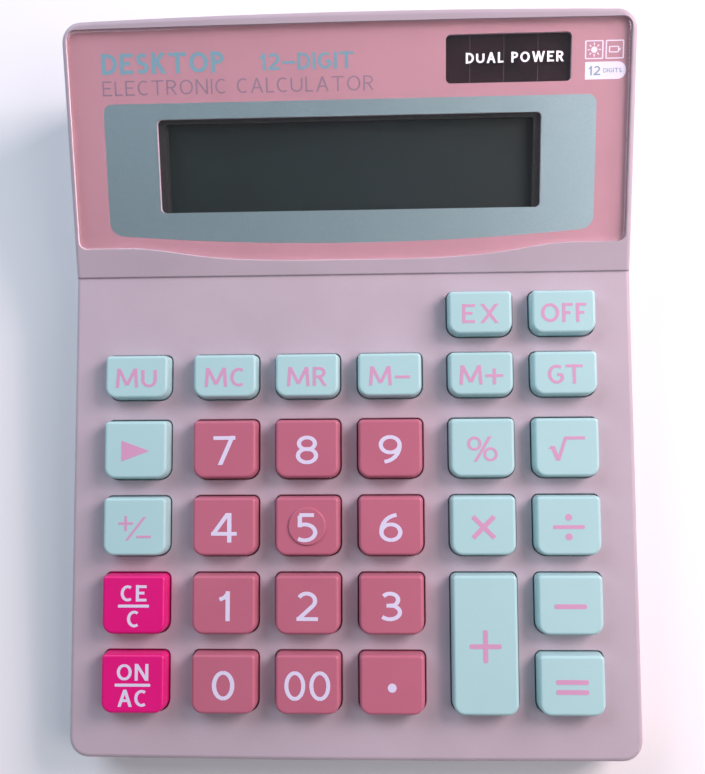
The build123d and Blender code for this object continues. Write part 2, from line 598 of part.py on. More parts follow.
def make_bottom_case():
    """Lower half of the casing: tray, tongue, screw posts, feet seats and battery bay."""
    with BuildPart() as bottom_case:
        with BuildSketch(Plane.XY.offset(PARTING)):
            add(casing_outline(PARTING_REVEAL))
        extrude(amount=-(PARTING - FOOT_HEIGHT), taper=TRAY_TAPER)
        fillet(bottom_case.faces().sort_by(Axis.Z)[0].edges(), TRAY_EDGE)
        with BuildSketch(Plane.XY.offset(FLOOR_TOP)):
            add(casing_outline(WALL + TONGUE_CLEARANCE + TONGUE_THICKNESS))
        extrude(amount=PARTING, mode=Mode.SUBTRACT)
        with BuildSketch(Plane.XY.offset(PARTING - TONGUE)):
            add(casing_outline(WALL + TONGUE_CLEARANCE))
            add(casing_outline(WALL + TONGUE_CLEARANCE + TONGUE_THICKNESS), mode=Mode.SUBTRACT)
        extrude(amount=2 * TONGUE)
        with BuildSketch(Plane.XY.offset(PARTING)):
            with Locations(*CASE_SCREWS):
                Circle(BOSS_RADIUS + 2 * BOSS_GAP)
        extrude(amount=2 * TONGUE, mode=Mode.SUBTRACT)
        with BuildSketch(Plane.XY.offset(FLOOR_TOP - OVERLAP)):
            with Locations(*CASE_SCREWS):
                Circle(BOSS_RADIUS)
        extrude(amount=PARTING - FLOOR_TOP + OVERLAP)
        with BuildSketch(Plane.XY.offset(FOOT_HEIGHT)):
            with Locations(*CASE_SCREWS):
                Circle(COUNTERBORE_RADIUS)
        extrude(amount=COUNTERBORE_DEPTH, mode=Mode.SUBTRACT)
        with BuildSketch(Plane.XY.offset(FOOT_HEIGHT)):
            with Locations(*CASE_SCREWS):
                Circle(SCREW_RADIUS + SHANK_CLEARANCE)
        extrude(amount=PARTING, mode=Mode.SUBTRACT)
        with BuildSketch(Plane.XY.offset(FOOT_HEIGHT)):
            with Locations(*FEET):
                Circle(FOOT_RADIUS + FOOT_CLEARANCE)
        extrude(amount=FOOT_RECESS, mode=Mode.SUBTRACT)
        frame = (DOOR_HALF_LENGTH + DOOR_FRAME, DOOR_HALF_WIDTH + DOOR_FRAME)
        bay_block(*frame, BAY_FRAME_TOP, Mode.ADD)
        bay_block(BAY_HALF_LENGTH + BAY_WALL, BAY_HALF_WIDTH + BAY_WALL, BAY_TOP, Mode.ADD)
        bay_block(BAY_HALF_LENGTH, BAY_HALF_WIDTH, BAY_ROOF, Mode.SUBTRACT)
        seat = (DOOR_HALF_LENGTH, DOOR_HALF_WIDTH, DOOR_TOP + DOOR_SEAT_GAP)
        bay_block(*seat, Mode.SUBTRACT, radius=DOOR_CORNER + DOOR_GAP)
        cut_hinge_seats()
        with BuildSketch(Plane.XY.offset(FOOT_HEIGHT)):
            with Locations((0, DOOR_BACK - LATCH_SLOT_INSET)):
                Rectangle(LATCH_WIDTH + 2 * LATCH_PLAY, LATCH_SLOT)
        extrude(amount=BAY_FRAME_TOP, mode=Mode.SUBTRACT)
        # slots in the bay's roof for the contacts' solder tabs, and a notch for a fingertip
        with BuildSketch(Plane.XY.offset(BAY_ROOF - OVERLAP)):
            for side in (-1, 1):
                with Locations((side * (BAY_HALF_LENGTH - CONTACT / 2), BAY_Y)):
                    Rectangle(CONTACT + CONTACT_PLAY, TAB_WIDTH + 2 * CONTACT_PLAY)
        extrude(amount=BAY_WALL + 2 * OVERLAP, mode=Mode.SUBTRACT)
        with BuildSketch(Plane.XY.offset(FOOT_HEIGHT)):
            with Locations((0, DOOR_BACK - FINGER_NOTCH_INSET)):
                Circle(FINGER_NOTCH_RADIUS)
        extrude(amount=FINGER_NOTCH_DEPTH, mode=Mode.SUBTRACT)
    return bottom_case


# ---------------------------------------------------------------- keys
def make_key(key):
    """A hollow key cap with a retaining flange, and a plunger over each rubber dome."""
    with BuildPart() as cap:
        with BuildSketch(KEYPAD):
            with Locations((key.x, key.y)):
                add(key_outline(key.length))
        extrude(amount=KEY_RISE, taper=KEY_DRAFT)
        top = cap.faces().sort_by(KEYPAD_NORMAL)[-1]
        fillet(top.edges(), KEY_EDGE)
        with BuildSketch(KEYPAD.offset(KEY_BOTTOM)):
            with Locations((key.x, key.y)):
                add(key_outline(key.length))
        extrude(amount=-KEY_BOTTOM)
        with BuildSketch(KEYPAD.offset(KEY_BOTTOM)):
            with Locations((key.x, key.y)):
                add(key_outline(key.length, KEY_FLANGE))
        extrude(amount=FLANGE_THICKNESS)
        with BuildSketch(KEYPAD.offset(KEY_BOTTOM)):
            with Locations((key.x, key.y)):
                add(key_outline(key.length, -KEY_WALL))
        extrude(amount=KEY_RISE - KEY_ROOF - KEY_BOTTOM, mode=Mode.SUBTRACT)
        with BuildSketch(KEYPAD.offset(PLUNGER_BOTTOM)):
            with Locations(*dome_places(key)):
                Circle(PLUNGER_RADIUS)
        extrude(amount=KEY_RISE - KEY_ROOF - PLUNGER_BOTTOM)
        with BuildSketch(KEYPAD):
            with Locations(*dome_places(key)):
                Rectangle(KEY_WIDTH - KEY_WALL, RIB)
            with Locations((key.x, key.y)):
                Rectangle(RIB, key.length - KEY_WALL)
        extrude(amount=KEY_RISE - KEY_ROOF)
        if key.name == "key_5":
            with BuildSketch(KEYPAD.offset(KEY_RISE)):
                with Locations((key.x, key.y)):
                    Circle(TACTILE_RADIUS)
            extrude(amount=TACTILE_RISE)
            top = cap.faces().sort_by(KEYPAD_NORMAL)[-1]
            fillet(top.edges(), TACTILE_EDGE)
    return cap


# ---------------------------------------------------------------- board and rubber
def make_key_mat():
    """One rubber sheet on the board, with a hollow dome under every key."""
    with BuildPart() as key_mat:
        with BuildSketch(KEYPAD.offset(BOARD_TOP)):
            with Locations((0, (MAT_BACK + MAT_FRONT) / 2)):
                Rectangle(BOARD_WIDTH - 2 * MAT_MARGIN, MAT_BACK - MAT_FRONT)
            with Locations(*BOARD_SCREWS):
                Circle(BOARD_BOSS_RADIUS + MAT_HOLE_CLEARANCE, mode=Mode.SUBTRACT)
        extrude(amount=MAT_THICKNESS)
        with Locations(*dome_locations(MAT_TOP)):
            Cone(DOME_BASE_RADIUS, DOME_TOP_RADIUS, DOME_HEIGHT, align=STANDING)
        with Locations(*dome_locations(BOARD_TOP)):
            Cone(
                DOME_BASE_RADIUS - DOME_WALL / 2,
                DOME_TOP_RADIUS - DOME_WALL / 2,
                DOME_TOP - DOME_WALL - BOARD_TOP,
                align=STANDING,
                mode=Mode.SUBTRACT,
            )
    return key_mat


def make_contact_pills():
    """A conductive disc on the underside of every dome's crown."""
    with BuildPart() as contact_pills:
        with BuildSketch(KEYPAD.offset(DOME_TOP - DOME_WALL - PILL_THICKNESS)):
            with Locations(*DOMES):
                Circle(PILL_RADIUS)
        extrude(amount=PILL_THICKNESS)
    return contact_pills


def make_main_board():
    """The circuit board, screwed to the underside of the keypad deck."""
    with BuildPart() as main_board:
        with BuildSketch(KEYPAD.offset(BOARD_BOTTOM)):
            with Locations((0, (BOARD_BACK + BOARD_FRONT) / 2)):
                Rectangle(BOARD_WIDTH, BOARD_BACK - BOARD_FRONT)
            with Locations(*BOARD_SCREWS):
                Circle(BOARD_SCREW_RADIUS + BOARD_HOLE_CLEARANCE, mode=Mode.SUBTRACT)
        extrude(amount=BOARD_THICKNESS)
    return main_board


def make_board_screws():
    """Small screws up through the board into the deck's bosses."""
    with BuildPart() as board_screws:
        with BuildSketch(KEYPAD.offset(BOARD_BOTTOM - BOARD_SCREW_HEAD)):
            with Locations(*BOARD_SCREWS):
                Circle(BOARD_SCREW_HEAD_RADIUS)
        extrude(amount=BOARD_SCREW_HEAD)
        with BuildSketch(KEYPAD.offset(BOARD_BOTTOM)):
            with Locations(*BOARD_SCREWS):
                Circle(BOARD_SCREW_RADIUS)
        extrude(amount=BOARD_SCREW_LENGTH - SCREW_SPARE)
        with BuildSketch(KEYPAD.offset(BOARD_BOTTOM - BOARD_SCREW_HEAD)):
            with Locations(*BOARD_SCREWS):
                Rectangle(2 * BOARD_SCREW_HEAD_RADIUS, SLOT_WIDTH)
                Rectangle(SLOT_WIDTH, 2 * BOARD_SCREW_HEAD_RADIUS)
        extrude(amount=BOARD_SCREW_HEAD / 2, mode=Mode.SUBTRACT)
    return board_screws


def make_chip_blob():
    """The drop of black resin over the calculator's chip, under the board."""
    with BuildPart() as chip_blob:
        with BuildSketch(KEYPAD.offset(BOARD_BOTTOM)):
            with Locations(CHIP_PLACE):
                Circle(CHIP_RADIUS)
        extrude(amount=-CHIP_HEIGHT, taper=CHIP_TAPER)
        fillet(chip_blob.faces().sort_by(KEYPAD_NORMAL)[0].edges(), CHIP_EDGE)
    return chip_blob


def make_board_capacitor():
    """An electrolytic capacitor standing under the board."""
    with BuildPart() as board_capacitor:
        with BuildSketch(KEYPAD.offset(BOARD_BOTTOM)):
            with Locations(CAPACITOR_PLACE):
                Circle(CAPACITOR_RADIUS)
        extrude(amount=-CAPACITOR_HEIGHT)
        fillet(board_capacitor.faces().sort_by(KEYPAD_NORMAL)[0].edges(), CAPACITOR_EDGE)
    return board_capacitor


# ---------------------------------------------------------------- display
def head_slab(outline, top, thickness, mode=Mode.ADD):
    """Adds or cuts a plate square to the head, hanging down from a level of it."""
    with BuildSketch(HEAD.offset(top)) as section:
        add(outline)
    extrude(section.sketch, amount=-thickness, mode=mode)


def off_ridge(edge, ridge):
    """Whether an edge lies clear of a line across the head at a distance from the crease."""
    return abs(HEAD.to_local_coords(edge).center().Y - ridge) > NEAR


def make_window_panel():
    """The clear acrylic window: its face falls a little at the back, and its edge is rounded."""
    ridge = WINDOW_TOP - WINDOW_FALL_WIDTH
    tilt = radians(HEAD_SLOPE - WINDOW_FALL)
    fall = Plane(
        HEAD.from_local_coords((0, ridge, WINDOW_PROUD)),
        x_dir=(1, 0, 0),
        z_dir=(0, -sin(tilt), cos(tilt)),
    )
    with BuildPart() as window_panel:
        thickness = WINDOW_PROUD + WINDOW_RECESS - PRINT_THICKNESS - PRINT_AIR
        head_slab(window_outline(), WINDOW_PROUD, thickness)
        split(bisect_by=fall, keep=Keep.BOTTOM)
        upper_faces = window_panel.faces().filter_by(GeomType.PLANE).sort_by(HEAD_NORMAL)[-2:]
        edges = [edge for face in upper_faces for edge in face.edges()]
        fillet([edge for edge in edges if off_ridge(edge, ridge)], WINDOW_EDGE)
    return window_panel


def make_window_print():
    """The coloured layer behind the window, open at the display and the solar cell."""
    with BuildPart() as window_print:
        head_slab(window_outline(), -WINDOW_RECESS + PRINT_THICKNESS, PRINT_THICKNESS)
        head_slab(bezel_outline(), 0, HEAD_DECK, Mode.SUBTRACT)
        head_slab(solar_opening(), 0, HEAD_DECK, Mode.SUBTRACT)
    return window_print


def make_bezel_plate():
    """The silver field round the display, in the same layer as the coloured print."""
    with BuildPart() as bezel_plate:
        head_slab(bezel_outline(), -WINDOW_RECESS + PRINT_THICKNESS, PRINT_THICKNESS)
        head_slab(display_opening(), 0, HEAD_DECK, Mode.SUBTRACT)
    return bezel_plate


def glass_plate(bottom, grow=0.0):
    """The outline of a glass plate that starts at a level of the head, moved out by grow."""
    half = GLASS_HALF_WIDTH + grow
    return bounded(-half, half, bottom - grow, GLASS_TOP + grow, GLASS_CORNER + max(grow, 0))


def make_lcd_frame():
    """The black frame under the head deck that carries the display glass."""
    with BuildPart() as lcd_frame:
        half = FRAME_HALF_WIDTH
        outer = bounded(-half, half, FRAME_BOTTOM, FRAME_TOP, FRAME_CORNER)
        head_slab(outer, -HEAD_DECK, FRAME_DEPTH - HEAD_DECK)
        half = SIGHT_HALF_WIDTH
        sight = bounded(-half, half, SIGHT_BOTTOM, SIGHT_TOP, SIGHT_CORNER)
        head_slab(sight, 0, HIGH, Mode.SUBTRACT)
        head_slab(glass_plate(GLASS_LEDGE, GLASS_CLEARANCE), -GLASS_DEPTH, HIGH, Mode.SUBTRACT)
        # the film from the display leaves through a slot in the front wall
        half = FLEX_HALF_WIDTH + FLEX_SLOT
        slot = bounded(-half, half, FRAME_BOTTOM - FLEX_STRAIGHT, GLASS_LEDGE + FLEX_STRAIGHT, FLEX)
        head_slab(slot, FLEX_LEVEL + FLEX_SLOT, 2 * FLEX_SLOT + FLEX, Mode.SUBTRACT)
    return lcd_frame


def make_lcd_polarisers():
    """The polarising films on the front and the back of the display glass."""
    with BuildPart() as lcd_polarisers:
        half = GLASS_HALF_WIDTH - FILM_MARGIN
        top = GLASS_TOP - FILM_MARGIN
        film = bounded(-half, half, GLASS_BOTTOM + FILM_MARGIN, top, FILM_CORNER)
        head_slab(film, -GLASS_DEPTH, FILM)
        head_slab(film, -GLASS_DEPTH - FILM - 2 * GLASS, FILM)
    return lcd_polarisers


def make_lcd_front_glass():
    """The front glass of the display."""
    with BuildPart() as lcd_front_glass:
        head_slab(glass_plate(GLASS_BOTTOM), -GLASS_DEPTH - FILM, GLASS)
    return lcd_front_glass


def make_lcd_rear_glass():
    """The rear glass, longer at the front edge to carry the terminals."""
    with BuildPart() as lcd_rear_glass:
        head_slab(glass_plate(GLASS_LEDGE), -GLASS_DEPTH - FILM - GLASS, GLASS)
    return lcd_rear_glass


def make_lcd_backing():
    """The plate pressed into the frame behind the glass to hold it."""
    with BuildPart() as lcd_backing:
        plate = glass_plate(GLASS_LEDGE, -BACKING_MARGIN)
        head_slab(plate, -GLASS_DEPTH - 2 * FILM - 2 * GLASS, BACKING)
    return lcd_backing


def make_lcd_flex():
    """The printed film from the display glass down to the board's back edge."""
    with BuildPart() as lcd_flex:
        with BuildLine() as path:
            board_level = BOARD_TOP + FLEX / 2
            glass_level = FLEX_LEVEL - FLEX / 2
            FilletPolyline(
                KEYPAD.from_local_coords((0, BOARD_BACK - FLEX_LAND, board_level)),
                KEYPAD.from_local_coords((0, BOARD_BACK + FLEX_STRAIGHT, board_level)),
                HEAD.from_local_coords((0, FRAME_BOTTOM - FLEX_STRAIGHT, glass_level)),
                HEAD.from_local_coords((0, GLASS_BOTTOM - FLEX_END_GAP, glass_level)),
                radius=FLEX_BEND,
            )
        with BuildSketch(Plane(path.line @ 0, x_dir=(1, 0, 0), z_dir=path.line % 0)):
            Rectangle(2 * FLEX_HALF_WIDTH, FLEX)
        sweep()
    return lcd_flex


def solar_plate(grow):
    """The solar cell's outline, larger than its opening."""
    left, right = SOLAR_LEFT - grow, SOLAR_RIGHT + grow
    return bounded(left, right, SOLAR_BOTTOM - grow, SOLAR_TOP + grow, SOLAR_CORNER)


def make_solar_tape():
    """The sticky foam border that bonds the solar cell to the head deck."""
    with BuildPart() as solar_tape:
        head_slab(solar_plate(SOLAR_OVERLAP), -HEAD_DECK, SOLAR_TAPE)
        head_slab(solar_plate(SOLAR_TAPE), 0, HIGH, Mode.SUBTRACT)
    return solar_tape


def make_solar_cell():
    """The thin-film solar cell."""
    with BuildPart() as solar_cell:
        head_slab(solar_plate(SOLAR_OVERLAP), -HEAD_DECK - SOLAR_TAPE, SOLAR_THICKNESS)
    return solar_cell


# ---------------------------------------------------------------- battery
def make_battery_cell():
    """One AA cell, its positive tip to the right."""
    with BuildPart() as battery_cell:
        with BuildSketch(Plane.YZ.offset(CELL_END_X)):
            with Locations((BAY_Y, CELL_Z)):
                Circle(CELL_RADIUS)
        extrude(amount=CELL_BODY)
        fillet(battery_cell.edges().filter_by(GeomType.CIRCLE), CELL_EDGE)
        with BuildSketch(Plane.YZ.offset(CELL_END_X + CELL_BODY - OVERLAP)):
            with Locations((BAY_Y, CELL_Z)):
                Circle(CELL_NUB_RADIUS)
        extrude(amount=CELL_NUB + OVERLAP)
    return battery_cell


def contact_plate(side):
    """A sprung steel plate on one end of the bay, with a solder tab up through the roof."""
    inner = side * (BAY_HALF_LENGTH - CONTACT)
    with BuildSketch(Plane.YZ.offset(inner)) as section:
        with Locations((BAY_Y, CELL_Z)):
            Rectangle(CONTACT_WIDTH, CONTACT_WIDTH)
        with Locations((BAY_Y, (CELL_Z + TAB_TOP) / 2)):
            Rectangle(TAB_WIDTH, TAB_TOP - CELL_Z)
    extrude(section.sketch, amount=side * CONTACT)


def make_battery_contact():
    """The positive contact, a flat plate."""
    with BuildPart() as battery_contact:
        contact_plate(1)
    return battery_contact


def make_battery_spring():
    """The negative contact, a plate with a coil spring that pushes on the cell."""
    with BuildPart() as battery_spring:
        contact_plate(-1)
        start = -BAY_HALF_LENGTH + CONTACT + SPRING_WIRE - SPRING_SEAT
        length = CELL_END_X - SPRING_WIRE - start
        with BuildLine() as coil:
            Helix(
                SPRING_PITCH,
                length,
                SPRING_RADIUS,
                center=(start, BAY_Y, CELL_Z),
                direction=(1, 0, 0),
            )
        with BuildSketch(Plane(coil.line @ 0, z_dir=coil.line % 0)):
            Circle(SPRING_WIRE)
        sweep(is_frenet=True)
    return battery_spring


def make_battery_door():
    """The battery door: two hinge knuckles at its front edge, a latch and grips at the back."""
    with BuildPart() as battery_door:
        half_length, half_width = DOOR_HALF_LENGTH - DOOR_GAP, DOOR_HALF_WIDTH - DOOR_GAP
        bay_block(half_length, half_width, DOOR_TOP, Mode.ADD, radius=DOOR_CORNER)
        with BuildSketch(Plane.XY.offset(FOOT_HEIGHT)):
            for side in (-1, 1):
                with Locations((side * HINGE_X, DOOR_FRONT)):
                    Rectangle(KNUCKLE_WIDTH, 2 * HINGE_REACH)
        extrude(amount=DOOR_THICKNESS)
        hinge_rods(KNUCKLE_RADIUS, KNUCKLE_WIDTH / 2, Mode.ADD)
        hinge_rods(HINGE_PIN_RADIUS, KNUCKLE_WIDTH / 2 + HINGE_PIN_LENGTH, Mode.ADD)
        with BuildSketch(Plane.XY.offset(DOOR_TOP)):
            with Locations((0, DOOR_BACK - LATCH_INSET)):
                Rectangle(LATCH_WIDTH, LATCH_THICKNESS)
        extrude(amount=LATCH_HEIGHT)
        with BuildSketch(Plane.XY.offset(FOOT_HEIGHT)):
            for row in range(GRIP_COUNT):
                with Locations((0, DOOR_BACK - GRIP_INSET - GRIP_PITCH * row)):
                    SlotOverall(GRIP_LENGTH - GRIP_SHORTENING * row, GRIP_WIDTH)
        extrude(amount=GRIP_DEPTH, mode=Mode.SUBTRACT)
    return battery_door


# ---------------------------------------------------------------- leads
def bend_radii(points):
    """As large an arc at each inner point as its two runs allow."""
    radii = []
    for before, here, after in zip(points, points[1:], points[2:]):
        arriving, leaving = here - before, after - here
        half_turn = radians(arriving.get_angle(leaving)) / 2
        radii.append(LEAD_ARC_SHARE * min(arriving.length, leaving.length) / tan(half_turn))
    return radii


def make_lead(name, x, start, route):
    """An insulated wire in one plane, from a start along its route to the board's underside."""
    joint = KEYPAD.from_local_coords((x, LEAD_BOARD_Y, BOARD_BOTTOM))
    end = joint.Z - LEAD_RADIUS * sin(radians(KEYPAD_SLOPE)) - LEAD_END_GAP
    middle = [(Y_CREASE + y, z) for y, z in route]
    turn_up = (joint.Y, LEAD_FLOOR)
    points = [Vector(x, y, z) for y, z in [start, *middle, turn_up, (joint.Y, end)]]
    radii = bend_radii(points)
    with BuildPart() as lead:
        with BuildLine() as path:
            FilletPolyline(*points, radius=radii)
        with BuildSketch(Plane(path.line @ 0, z_dir=path.line % 0)):
            Circle(LEAD_RADIUS)
        sweep()
    length = path.wires()[0].length
    print(name, "radii", [round(radius, 1) for radius in radii], "length", round(length, 1))
    print(name, "volume over section times length", lead.part.volume / (length * LEAD_SECTION))
    return lead


def make_battery_lead(name, side):
    """From a contact's solder tab, over the bay's edge, down and forward to the board."""
    x = side * (BAY_HALF_LENGTH - CONTACT - LEAD_RADIUS)
    return make_lead(name, x, (BAY_Y + TAB_WIDTH / 2, LEAD_HIGH), BATTERY_LEAD_ROUTE)


def make_solar_lead(name, x):
    """From the back of the solar cell, down beside the battery bay and forward to the board."""
    start = HEAD.from_local_coords((x, SOLAR_LEAD_LEVEL, SOLAR_BACK))
    top = start.Z - LEAD_RADIUS * sin(radians(HEAD_SLOPE)) - LEAD_END_GAP
    return make_lead(name, x, (start.Y, top), SOLAR_LEAD_ROUTE)


# ---------------------------------------------------------------- screws and feet
def make_case_screws():
    """The screws that hold the casing's halves together, cross-slotted, from below."""
    with BuildPart() as case_screws:
        with BuildSketch(Plane.XY.offset(SCREW_SEAT - SCREW_HEAD)):
            with Locations(*CASE_SCREWS):
                Circle(SCREW_HEAD_RADIUS)
        extrude(amount=SCREW_HEAD)
        with BuildSketch(Plane.XY.offset(SCREW_SEAT)):
            with Locations(*CASE_SCREWS):
                Circle(SCREW_RADIUS)
        extrude(amount=SCREW_LENGTH)
        with BuildSketch(Plane.XY.offset(SCREW_SEAT - SCREW_HEAD)):
            with Locations(*CASE_SCREWS):
                Rectangle(SLOT_SPAN * SCREW_HEAD_RADIUS, SLOT_WIDTH)
                Rectangle(SLOT_WIDTH, SLOT_SPAN * SCREW_HEAD_RADIUS)
        extrude(amount=SLOT_DEPTH, mode=Mode.SUBTRACT)
    return case_screws


def make_rubber_feet():
    """Four round rubber feet, glued in shallow seats."""
    with BuildPart() as rubber_feet:
        with BuildSketch(Plane.XY):
            with Locations(*FEET):
                Circle(FOOT_RADIUS)
        extrude(amount=FOOT_HEIGHT + FOOT_RECESS)
        fillet(rubber_feet.faces().group_by(Axis.Z)[0].edges(), FOOT_EDGE)
    return rubber_feet


# ---------------------------------------------------------------- all sub-parts
save(make_top_case(), "top_case")
save(make_bottom_case(), "bottom_case")
for key in KEYS:
    save(make_key(key), key.name)
save(make_key_mat(), "key_mat")
save(make_contact_pills(), "contact_pills")
save(make_main_board(), "main_board")
save(make_board_screws(), "board_screws")
save(make_chip_blob(), "chip_blob")
save(make_board_capacitor(), "board_capacitor")
save(make_window_panel(), "window_panel")
save(make_window_print(), "window_print")
save(make_bezel_plate(), "bezel_plate")
save(make_lcd_frame(), "lcd_frame")
save(make_lcd_polarisers(), "lcd_polarisers")
save(make_lcd_front_glass(), "lcd_front_glass")
save(make_lcd_rear_glass(), "lcd_rear_glass")
save(make_lcd_backing(), "lcd_backing")
save(make_lcd_flex(), "lcd_flex")
save(make_solar_tape(), "solar_tape")
save(make_solar_cell(), "solar_cell")
save(make_battery_cell(), "battery_cell")
save(make_battery_contact(), "battery_contact")
save(make_battery_spring(), "battery_spring")
save(make_battery_door(), "battery_door")
save(make_battery_lead("battery_lead_red", 1), "battery_lead_red")
save(make_battery_lead("battery_lead_black", -1), "battery_lead_black")
save(make_solar_lead("solar_lead_red", SOLAR_LEAD_X[0]), "solar_lead_red")
save(make_solar_lead("solar_lead_black", SOLAR_LEAD_X[1]), "solar_lead_black")
save(make_case_screws(), "case_screws")
save(make_rubber_feet(), "rubber_feet")
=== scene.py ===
"""Looks for the desk calculator: materials, printed legends, floor, lights and camera.

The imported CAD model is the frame, in metres, and stays as it is. This script gives every CAD node a
procedural material and adds what is printed on the object: the legends on the keys, the lettering and
icons behind the window, and the segment lines of the solar cell.
"""

import json
from math import atan2, cos, pi, radians, sin
from typing import NamedTuple

import bmesh
import bpy
from mathutils import Euler, Matrix, Vector


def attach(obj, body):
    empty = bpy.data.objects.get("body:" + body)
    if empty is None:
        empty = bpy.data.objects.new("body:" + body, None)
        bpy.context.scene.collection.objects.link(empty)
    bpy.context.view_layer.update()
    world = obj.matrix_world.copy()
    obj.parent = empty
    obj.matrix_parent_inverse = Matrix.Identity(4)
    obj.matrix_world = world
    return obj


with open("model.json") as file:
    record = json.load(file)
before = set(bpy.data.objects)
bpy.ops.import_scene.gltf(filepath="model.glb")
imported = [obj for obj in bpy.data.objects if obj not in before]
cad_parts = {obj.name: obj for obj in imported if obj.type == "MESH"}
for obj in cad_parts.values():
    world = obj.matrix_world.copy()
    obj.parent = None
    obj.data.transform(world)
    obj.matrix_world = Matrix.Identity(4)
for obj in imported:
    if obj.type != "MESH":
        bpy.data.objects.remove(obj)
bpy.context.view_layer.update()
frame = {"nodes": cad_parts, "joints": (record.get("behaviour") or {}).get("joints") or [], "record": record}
nodes = frame["nodes"]

MM = 0.001
X_AXIS = Vector((1, 0, 0))

# ---------------------------------------------------------------- print sizes, millimetres
PRINT_HEIGHT = 0.04  # of a legend's surface above what it is printed on
PRINT_SUNK = 0.02  # and of its underside below it
DIGIT_HEIGHT, DIGIT_STROKE = 7.35, 1.08
WORD_HEIGHT, WORD_STROKE = 4.9, 0.82
THINNING = 0.15  # level strokes are thinner than upright ones by this share
LEGEND_DROP = 0.3  # legends sit this much in front of their key's centre
SMALL_WORD_STROKE = 0.78  # of the words over and under a bar
SMALL_WORD_RISE, SMALL_WORD_DROP = 3.15, 3.2  # of their middles from the bar
SIGN_REACH, SIGN_HALF = 3.95, 0.58  # half the length and thickness of the large signs' bars
PLUS_REACH, PLUS_RISE = 3.9, 4.0  # half the large plus, across and up
CROSS_REACH, CROSS_STROKE = 2.65, 1.25
DOT_RADIUS = 1.1  # of the decimal point

HEAD_PRINT_HEIGHT = 0.03  # of the print on the head above the pink layer
ICON_HALF, ICON_LINE = 2.1, 0.3  # half an icon's side, and its outline's width
SUN_X, CELL_X, ICON_Y = 61.6, 66.65, 54.5  # the icons' middles, across and up the head
SUN_RADIUS, RAY_START, RAY_END, RAYS = 0.75, 1.05, 1.65, 8
FINE_LINE = 0.28
LABEL_SPAN = (59.45, 69.55, 47.4, 51.6)  # left, right, bottom and top
LABEL_ROUND, LABEL_SQUARE = 2.05, 0.15  # its corner radii at the right and at the left
LABEL_MIDDLE = 49.5  # of the lettering on it, up the head
SEGMENT_PITCH, SEGMENT_SHIFT = 8.5, 1.0  # of the lines on the solar cell
SEGMENT_LINE, SEGMENT_MARGIN = 0.16, 1.2  # their width, and their distance from the cell's edge

HEAD_SLOPE = radians(18.5)
WINDOW_DIP = 3.8  # the window's lowest edge, along the head from the crease


# ---------------------------------------------------------------- local frames
def local_frame(up):
    """X across, the second axis up the slope, and the third square to the surface."""
    slope = up.cross(X_AXIS)
    return X_AXIS, slope, up


def extent(node, direction):
    """The least and greatest reach of a node along a direction, in metres."""
    reach = [vertex.co.dot(direction) for vertex in nodes[node].data.vertices]
    return min(reach), max(reach)


def surface(node, up):
    """A matrix whose origin is the middle of a node's upper face, with Z square to it."""
    across, slope, up = local_frame(up)
    x, y = (sum(extent(node, axis)) / 2 for axis in (across, slope))
    z = extent(node, up)[1]
    turned = Matrix((across, slope, up)).transposed().to_4x4()
    return Matrix.Translation(across * x + slope * y + up * z) @ turned


KEYPAD_UP = Vector(next(j["axis"] for j in frame["joints"] if j["name"] == "key_5_press"))
HEAD_UP = Vector((0, -sin(HEAD_SLOPE), cos(HEAD_SLOPE)))


def head_print_frame():
    """Millimetres on the printed layer's face: X across, Y up the head from the crease."""
    across, slope, up = local_frame(HEAD_UP)
    crease = extent("window_print", slope)[0] - WINDOW_DIP * MM
    z = extent("window_print", up)[1]
    turned = Matrix((across, slope, up)).transposed().to_4x4()
    return Matrix.Translation(slope * crease + up * z) @ turned @ Matrix.Scale(MM, 4)


# ---------------------------------------------------------------- node trees
def new_material(name):
    """A material with a Principled shader, and its nodes and links at hand."""
    material = bpy.data.materials.new(name)
    material.use_nodes = True
    tree = material.node_tree
    return material, tree.nodes, tree.links, tree.nodes["Principled BSDF"]


def set_inputs(node, **values):
    """Sets named sockets of a node; underscores in a keyword stand for spaces."""
    for name, value in values.items():
        node.inputs[name.replace("_", " ")].default_value = value


def noise(tree_nodes, links, scale, detail=4.0, roughness=0.55, stretch=(1, 1, 1)):
    """A noise pattern fixed to the object, in metres; returns its value socket."""
    place = tree_nodes.new("ShaderNodeTexCoord")
    mapping = tree_nodes.new("ShaderNodeMapping")
    mapping.inputs["Scale"].default_value = stretch
    pattern = tree_nodes.new("ShaderNodeTexNoise")
    set_inputs(pattern, Scale=scale, Detail=detail, Roughness=roughness)
    links.new(place.outputs["Object"], mapping.inputs["Vector"])
    links.new(mapping.outputs["Vector"], pattern.inputs["Vector"])
    return pattern.outputs["Fac"]


def ramp(tree_nodes, links, source, low, high, first, second):
    """Turns a value between low and high into a blend of two colours."""
    blend = tree_nodes.new("ShaderNodeValToRGB")
    blend.color_ramp.elements[0].position = low
    blend.color_ramp.elements[1].position = high
    blend.color_ramp.elements[0].color = (*first, 1)
    blend.color_ramp.elements[1].color = (*second, 1)
    links.new(source, blend.inputs["Fac"])
    return blend.outputs["Color"]


def spread(tree_nodes, links, source, low, high):
    """Turns a pattern's middle range into a number between low and high."""
    mapped = tree_nodes.new("ShaderNodeMapRange")
    set_inputs(mapped, From_Min=0.3, From_Max=0.7, To_Min=low, To_Max=high)
    links.new(source, mapped.inputs["Value"])
    return mapped.outputs["Result"]


def bump(tree_nodes, links, shader, source, distance, strength=1.0):
    """Gives a shader a surface relief of a real height, in metres."""
    relief = tree_nodes.new("ShaderNodeBump")
    set_inputs(relief, Distance=distance, Strength=strength)
    links.new(source, relief.inputs["Height"])
    links.new(relief.outputs["Normal"], shader.inputs["Normal"])


def shade(color, factor):
    """A colour made lighter or darker."""
    return tuple(min(1.0, channel * factor) for channel in color)


